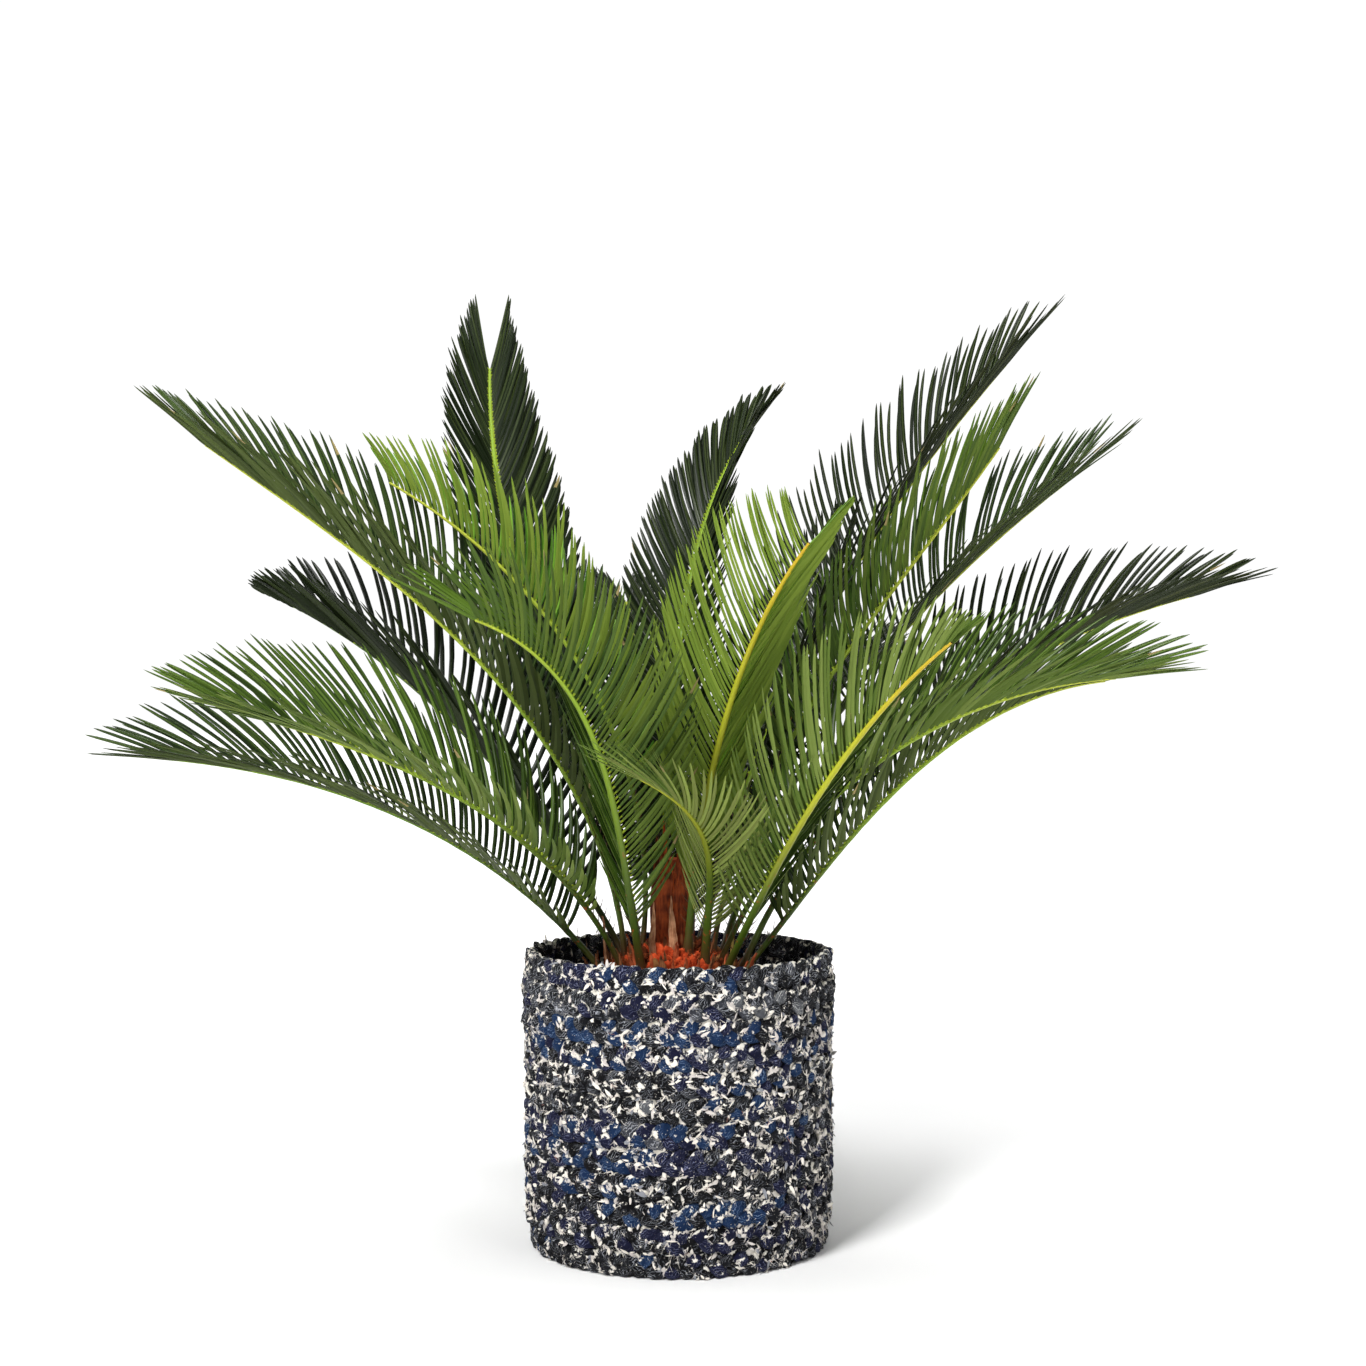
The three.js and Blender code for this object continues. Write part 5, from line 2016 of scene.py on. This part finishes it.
@dataclass
class CrownBud:
    """The sheath round the unopened leaves: overlapping torn blades round a felted core."""

    blades: int = 24
    blade_width: float = 8.5 * MM
    core_share: float = 0.92
    foot_reach: Pair = (0.88, 0.98)
    tip_reach: Pair = (0.7, 0.92)
    tallness: Pair = (0.6, 1.04)
    fibre_length: float = 6 * MM
    outer_width: float = 3.8 * MM
    steps: int = 48
    rng: Generator = field(default_factory=lambda: default_rng(58))

    # Direction and height, as a share of the bud's, of the narrow scales at its foot.
    OUTER_SCALES = ((268, 0.62), (250, 0.5), (292, 0.55), (215, 0.42), (330, 0.5))

    def build(self) -> None:
        """Builds the core and its sheath."""
        low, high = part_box("crown_bud")
        centre = np.array([(low.x + high.x) / 2, (low.y + high.y) / 2, 0.0])
        belly = 0.5 * (high.x - low.x)
        height = high.z - low.z
        profile = [(0.0, low.z - 2 * MM), (0.8 * belly, low.z - 2 * MM)]
        for share in np.linspace(0.05, 0.93, 16):
            radius = self.core_share * belly * (1 - 0.3 * max(share - 0.3, 0) ** 1.3)
            profile.append((radius, low.z + share * height))
        profile.append((0.0, low.z + 0.9 * height))
        core = spun(profile, centre, self.steps)
        for corner in core.verts:
            apart = Vector((corner.co.x - centre[0], corner.co.y - centre[1], 0.0))
            if apart.length > 1 * MM:
                turn = math.atan2(apart.y, apart.x)
                pleat = 0.5 * math.sin(9 * turn) + noise.fractal(corner.co * 200, 1.0, 2.0, 3)
                corner.co += apart.normalized() * 0.7 * MM * pleat
        felt = FibrousHusk("bud_felt", "501e0c", "ac5026", grain_mm=1.4).material()
        report(bmesh_piece("crown_bud_core", core, [felt], sharp=70.0), ["crown_bud"])
        self.sheath(centre, belly, low.z, height, felt)

    def sheath(self, centre: Array, belly: float, bottom: float, height: float, felt: Material) -> None:
        """Wraps torn blades round the core.

        Args:
            centre: The bud's axis.
            belly: Its greatest radius.
            bottom: Height of its foot.
            height: Its height.
            felt: The core's material, which some blades share.
        """
        blades = ScaleBlades(self.rng)
        for index in range(self.blades):
            turn = index * GOLDEN_ANGLE + 0.4
            outward = np.array([math.cos(turn), math.sin(turn), 0.0])
            tall = height * self.rng.uniform(*self.tallness)
            foot_reach = belly * self.rng.uniform(*self.foot_reach)
            tip_reach = belly * self.rng.uniform(*self.tip_reach)
            foot = centre + outward * foot_reach + UP * (bottom - 1 * MM)
            tip = centre + outward * tip_reach + UP * (bottom + tall)
            tone = int(self.rng.choice([0, 0, 1, 2]))
            blades.add(Scale(foot, tip, outward, self.blade_width, tone, curl=0.24, taper=0.3, ragged=True))
            roots = tip + self.rng.normal(0, 1.2 * MM, (7, 3)) - UP * 3 * MM
            blades.add_fibres(roots, UP * np.ones((7, 1)), self.fibre_length, 3)
        for turn_degrees, share in self.OUTER_SCALES:
            outward = polar(turn_degrees, 1.0, 0.0)
            foot = centre + outward * (belly + 2.0 * MM) + UP * (bottom - 3 * MM)
            tip = centre + outward * (belly * 0.72) + UP * (bottom + share * height)
            blades.add(Scale(foot, tip, outward, self.outer_width, 3, curl=0.3, flick=-0.3))
        materials = [
            felt,
            FibrousHusk("sheath_orange", "94360f", "d66a30", grain_mm=1.6).material(),
            FibrousHusk("sheath_brown", "3a170b", "7a3a1c", grain_mm=1.2).material(),
            FibrousHusk("sheath_tan", "54260f", "985a36", grain_mm=1.0).material(),
        ]
        report(blades.mesh.piece("crown_bud_sheath", materials, sharp=50.0), ["crown_bud"])


@dataclass
class ScaleLeaves:
    """Dry scale leaves between the stems: one for each node, and smaller ones among them."""

    dome: CrownDome
    small: int = 74
    straw_coloured: str = "scale_leaf_06"
    rng: Generator = field(default_factory=lambda: default_rng(9))

    def build(self) -> None:
        """Builds all the scale leaves as one piece."""
        blades = ScaleBlades(self.rng)
        nodes = sorted(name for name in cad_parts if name.startswith("scale_leaf_"))
        for name in nodes:
            blades.add(self.from_node(name))
        for index in range(self.small):
            blades.add(self.between(index))
        materials = [
            FibrousHusk("scale_brown", "4a2816", "96603c", grain_mm=1.0).material(),
            FibrousHusk("scale_tan", "84543a", "c8946e", grain_mm=0.9).material(),
            FibrousHusk("scale_rust", "742e14", "bc5e38", grain_mm=1.0).material(),
            FibrousHusk("scale_straw", "8c7434", "c8ae66", grain_mm=1.0).material(),
        ]
        report(blades.mesh.piece("scale_leaves", materials, sharp=50.0), nodes)

    def from_node(self, name: str) -> Scale:
        """Reads a scale leaf's foot, tip and width from its node.

        Args:
            name: The node.

        Returns:
            The scale.
        """
        corners = np.array([corner.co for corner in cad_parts[name].data.vertices])
        tip = corners[np.argmax(corners[:, 2])]
        order = np.argsort(corners @ unit(tip - corners.mean(axis=0)))
        foot = corners[order[:6]].mean(axis=0)
        outward = unit((foot - self.dome.axis) * np.array([1.0, 1.0, 0.0]))
        across = np.cross(UP, outward)
        width = float(np.ptp(corners @ across))
        tone = int(self.rng.choice([0, 1, 1, 2]))
        if name == self.straw_coloured:
            tone = 3
        flick = -float(self.rng.uniform(0.1, 0.9))
        return Scale(foot - UP * 3 * MM, tip, outward, 1.05 * width, tone, taper=0.85, flick=flick)

    def between(self, index: int) -> Scale:
        """Gives one of the smaller scale leaves among the stems.

        Args:
            index: Its number.

        Returns:
            The scale.
        """
        share = (index + 0.5) / self.small
        reach = (20 + 36 * math.sqrt(share)) * MM
        turn = math.degrees(index * GOLDEN_ANGLE)
        outward = polar(turn, 1.0, 0.0)
        foot = self.dome.axis + outward * reach
        foot[2] = float(self.dome.height(np.array(reach))) - 1 * MM
        tall = self.rng.uniform(9, 24) * MM
        lean = math.radians(self.rng.normal(6 + 16 * share, 9))
        tip = foot + (outward * math.sin(lean) + UP * math.cos(lean)) * tall
        width = self.rng.uniform(3.0, 6.0) * MM
        tone = int(self.rng.choice([0, 0, 1, 2, 2]))
        return Scale(foot, tip, outward, width, tone, taper=0.85, flick=-float(self.rng.uniform(0, 1)))


# ---------------- studio


@dataclass
class Studio:
    """Plain pale floor, soft light and a level camera."""

    floor_size: float = 30.0
    camera_place: tuple[float, float, float] = (0.0032, -1.495, 0.398)
    lens_mm: float = 55.0
    sensor_mm: float = 36.0
    wall_light: float = 1.04
    front_light: float = 0.34
    ceiling_light: float = 0.14
    front_limits: Pair = (0.45, -0.35)
    ceiling_limits: Pair = (0.34, 0.6)
    aim: tuple[float, float, float] = (0.0, 0.0, 0.38)

    # Name, place in metres, side in metres and power in watts.
    LAMPS = (
        ("key", (-1.2, -2.1, 2.3), 0.8, 104.0),
        ("fill", (2.0, -1.8, 1.4), 1.6, 16.0),
        ("top", (0.1, 0.4, 2.9), 1.2, 62.0),
    )

    def build(self) -> None:
        """Builds the floor, the lights and the camera."""
        scene = bpy.context.scene
        scene.view_settings.view_transform = "Standard"
        self.floor()
        self.world(scene)
        for name, place, size, power in self.LAMPS:
            self.area(name, place, size, power)
        data = bpy.data.cameras.new("camera")
        data.lens = self.lens_mm
        data.sensor_width = self.sensor_mm
        data.clip_end = 200.0
        camera = bpy.data.objects.new("camera", data)
        camera.location = self.camera_place
        camera.rotation_euler = (math.radians(90), 0.0, 0.0)
        scene.collection.objects.link(camera)
        scene.camera = camera

    def floor(self) -> None:
        """Builds the floor, just under the basket."""
        form = bmesh.new()
        bmesh.ops.create_grid(form, x_segments=2, y_segments=2, size=0.5 * self.floor_size)
        bmesh.ops.translate(form, verts=form.verts[:], vec=(0.0, 0.0, -0.2 * MM))
        bmesh_piece("floor", form, [PaleFloor().material()])

    def world(self, scene: Scene) -> None:
        """Lights the scene from a white room, darker overhead and in front of the plant.

        Args:
            scene: The scene.
        """
        world = bpy.data.worlds.new("soft_room")
        world.use_nodes = True
        tree = world.node_tree
        tree.nodes.clear()
        aim = add_node(tree, "TexCoord").outputs["Generated"]
        split = add_node(tree, "SeparateXYZ", inputs={0: aim})
        wall, front, ceiling = [
            (light, light, light, 1.0) for light in (self.wall_light, self.front_light, self.ceiling_light)
        ]
        around = turned_colour(tree, split.outputs["Y"], self.front_limits, wall, front)
        room = turned_colour(tree, split.outputs["Z"], self.ceiling_limits, around, ceiling)
        background = add_node(tree, "Background", inputs={"Color": room})
        add_node(tree, "OutputWorld", inputs={"Surface": background})
        scene.world = world

    def area(self, name: str, place: tuple[float, float, float], size: float, power: float) -> None:
        """Adds a square soft light that faces the plant.

        Args:
            name: The light's name.
            place: Where it stands.
            size: Its side.
            power: Its power in watts.
        """
        data = bpy.data.lights.new(name, "AREA")
        data.shape = "SQUARE"
        data.size = size
        data.energy = power
        light = bpy.data.objects.new(name, data)
        light.location = place
        aim = Vector(self.aim) - Vector(place)
        light.rotation_euler = aim.to_track_quat("-Z", "Y").to_euler()
        bpy.context.scene.collection.objects.link(light)


def main() -> None:
    """Builds the sub-assemblies in order."""
    logging.basicConfig(level=logging.INFO, format="%(name)s: %(message)s")
    dome = CrownDome.from_frame()
    Studio().build()
    BraidedBasket().build()
    NurseryPot().build()
    PottingMix().build()
    CaudexTrunk(dome).build()
    CrownBud().build()
    ScaleLeaves(dome).build()
    Crown(dome).build()


if __name__ == "__main__":
    main()
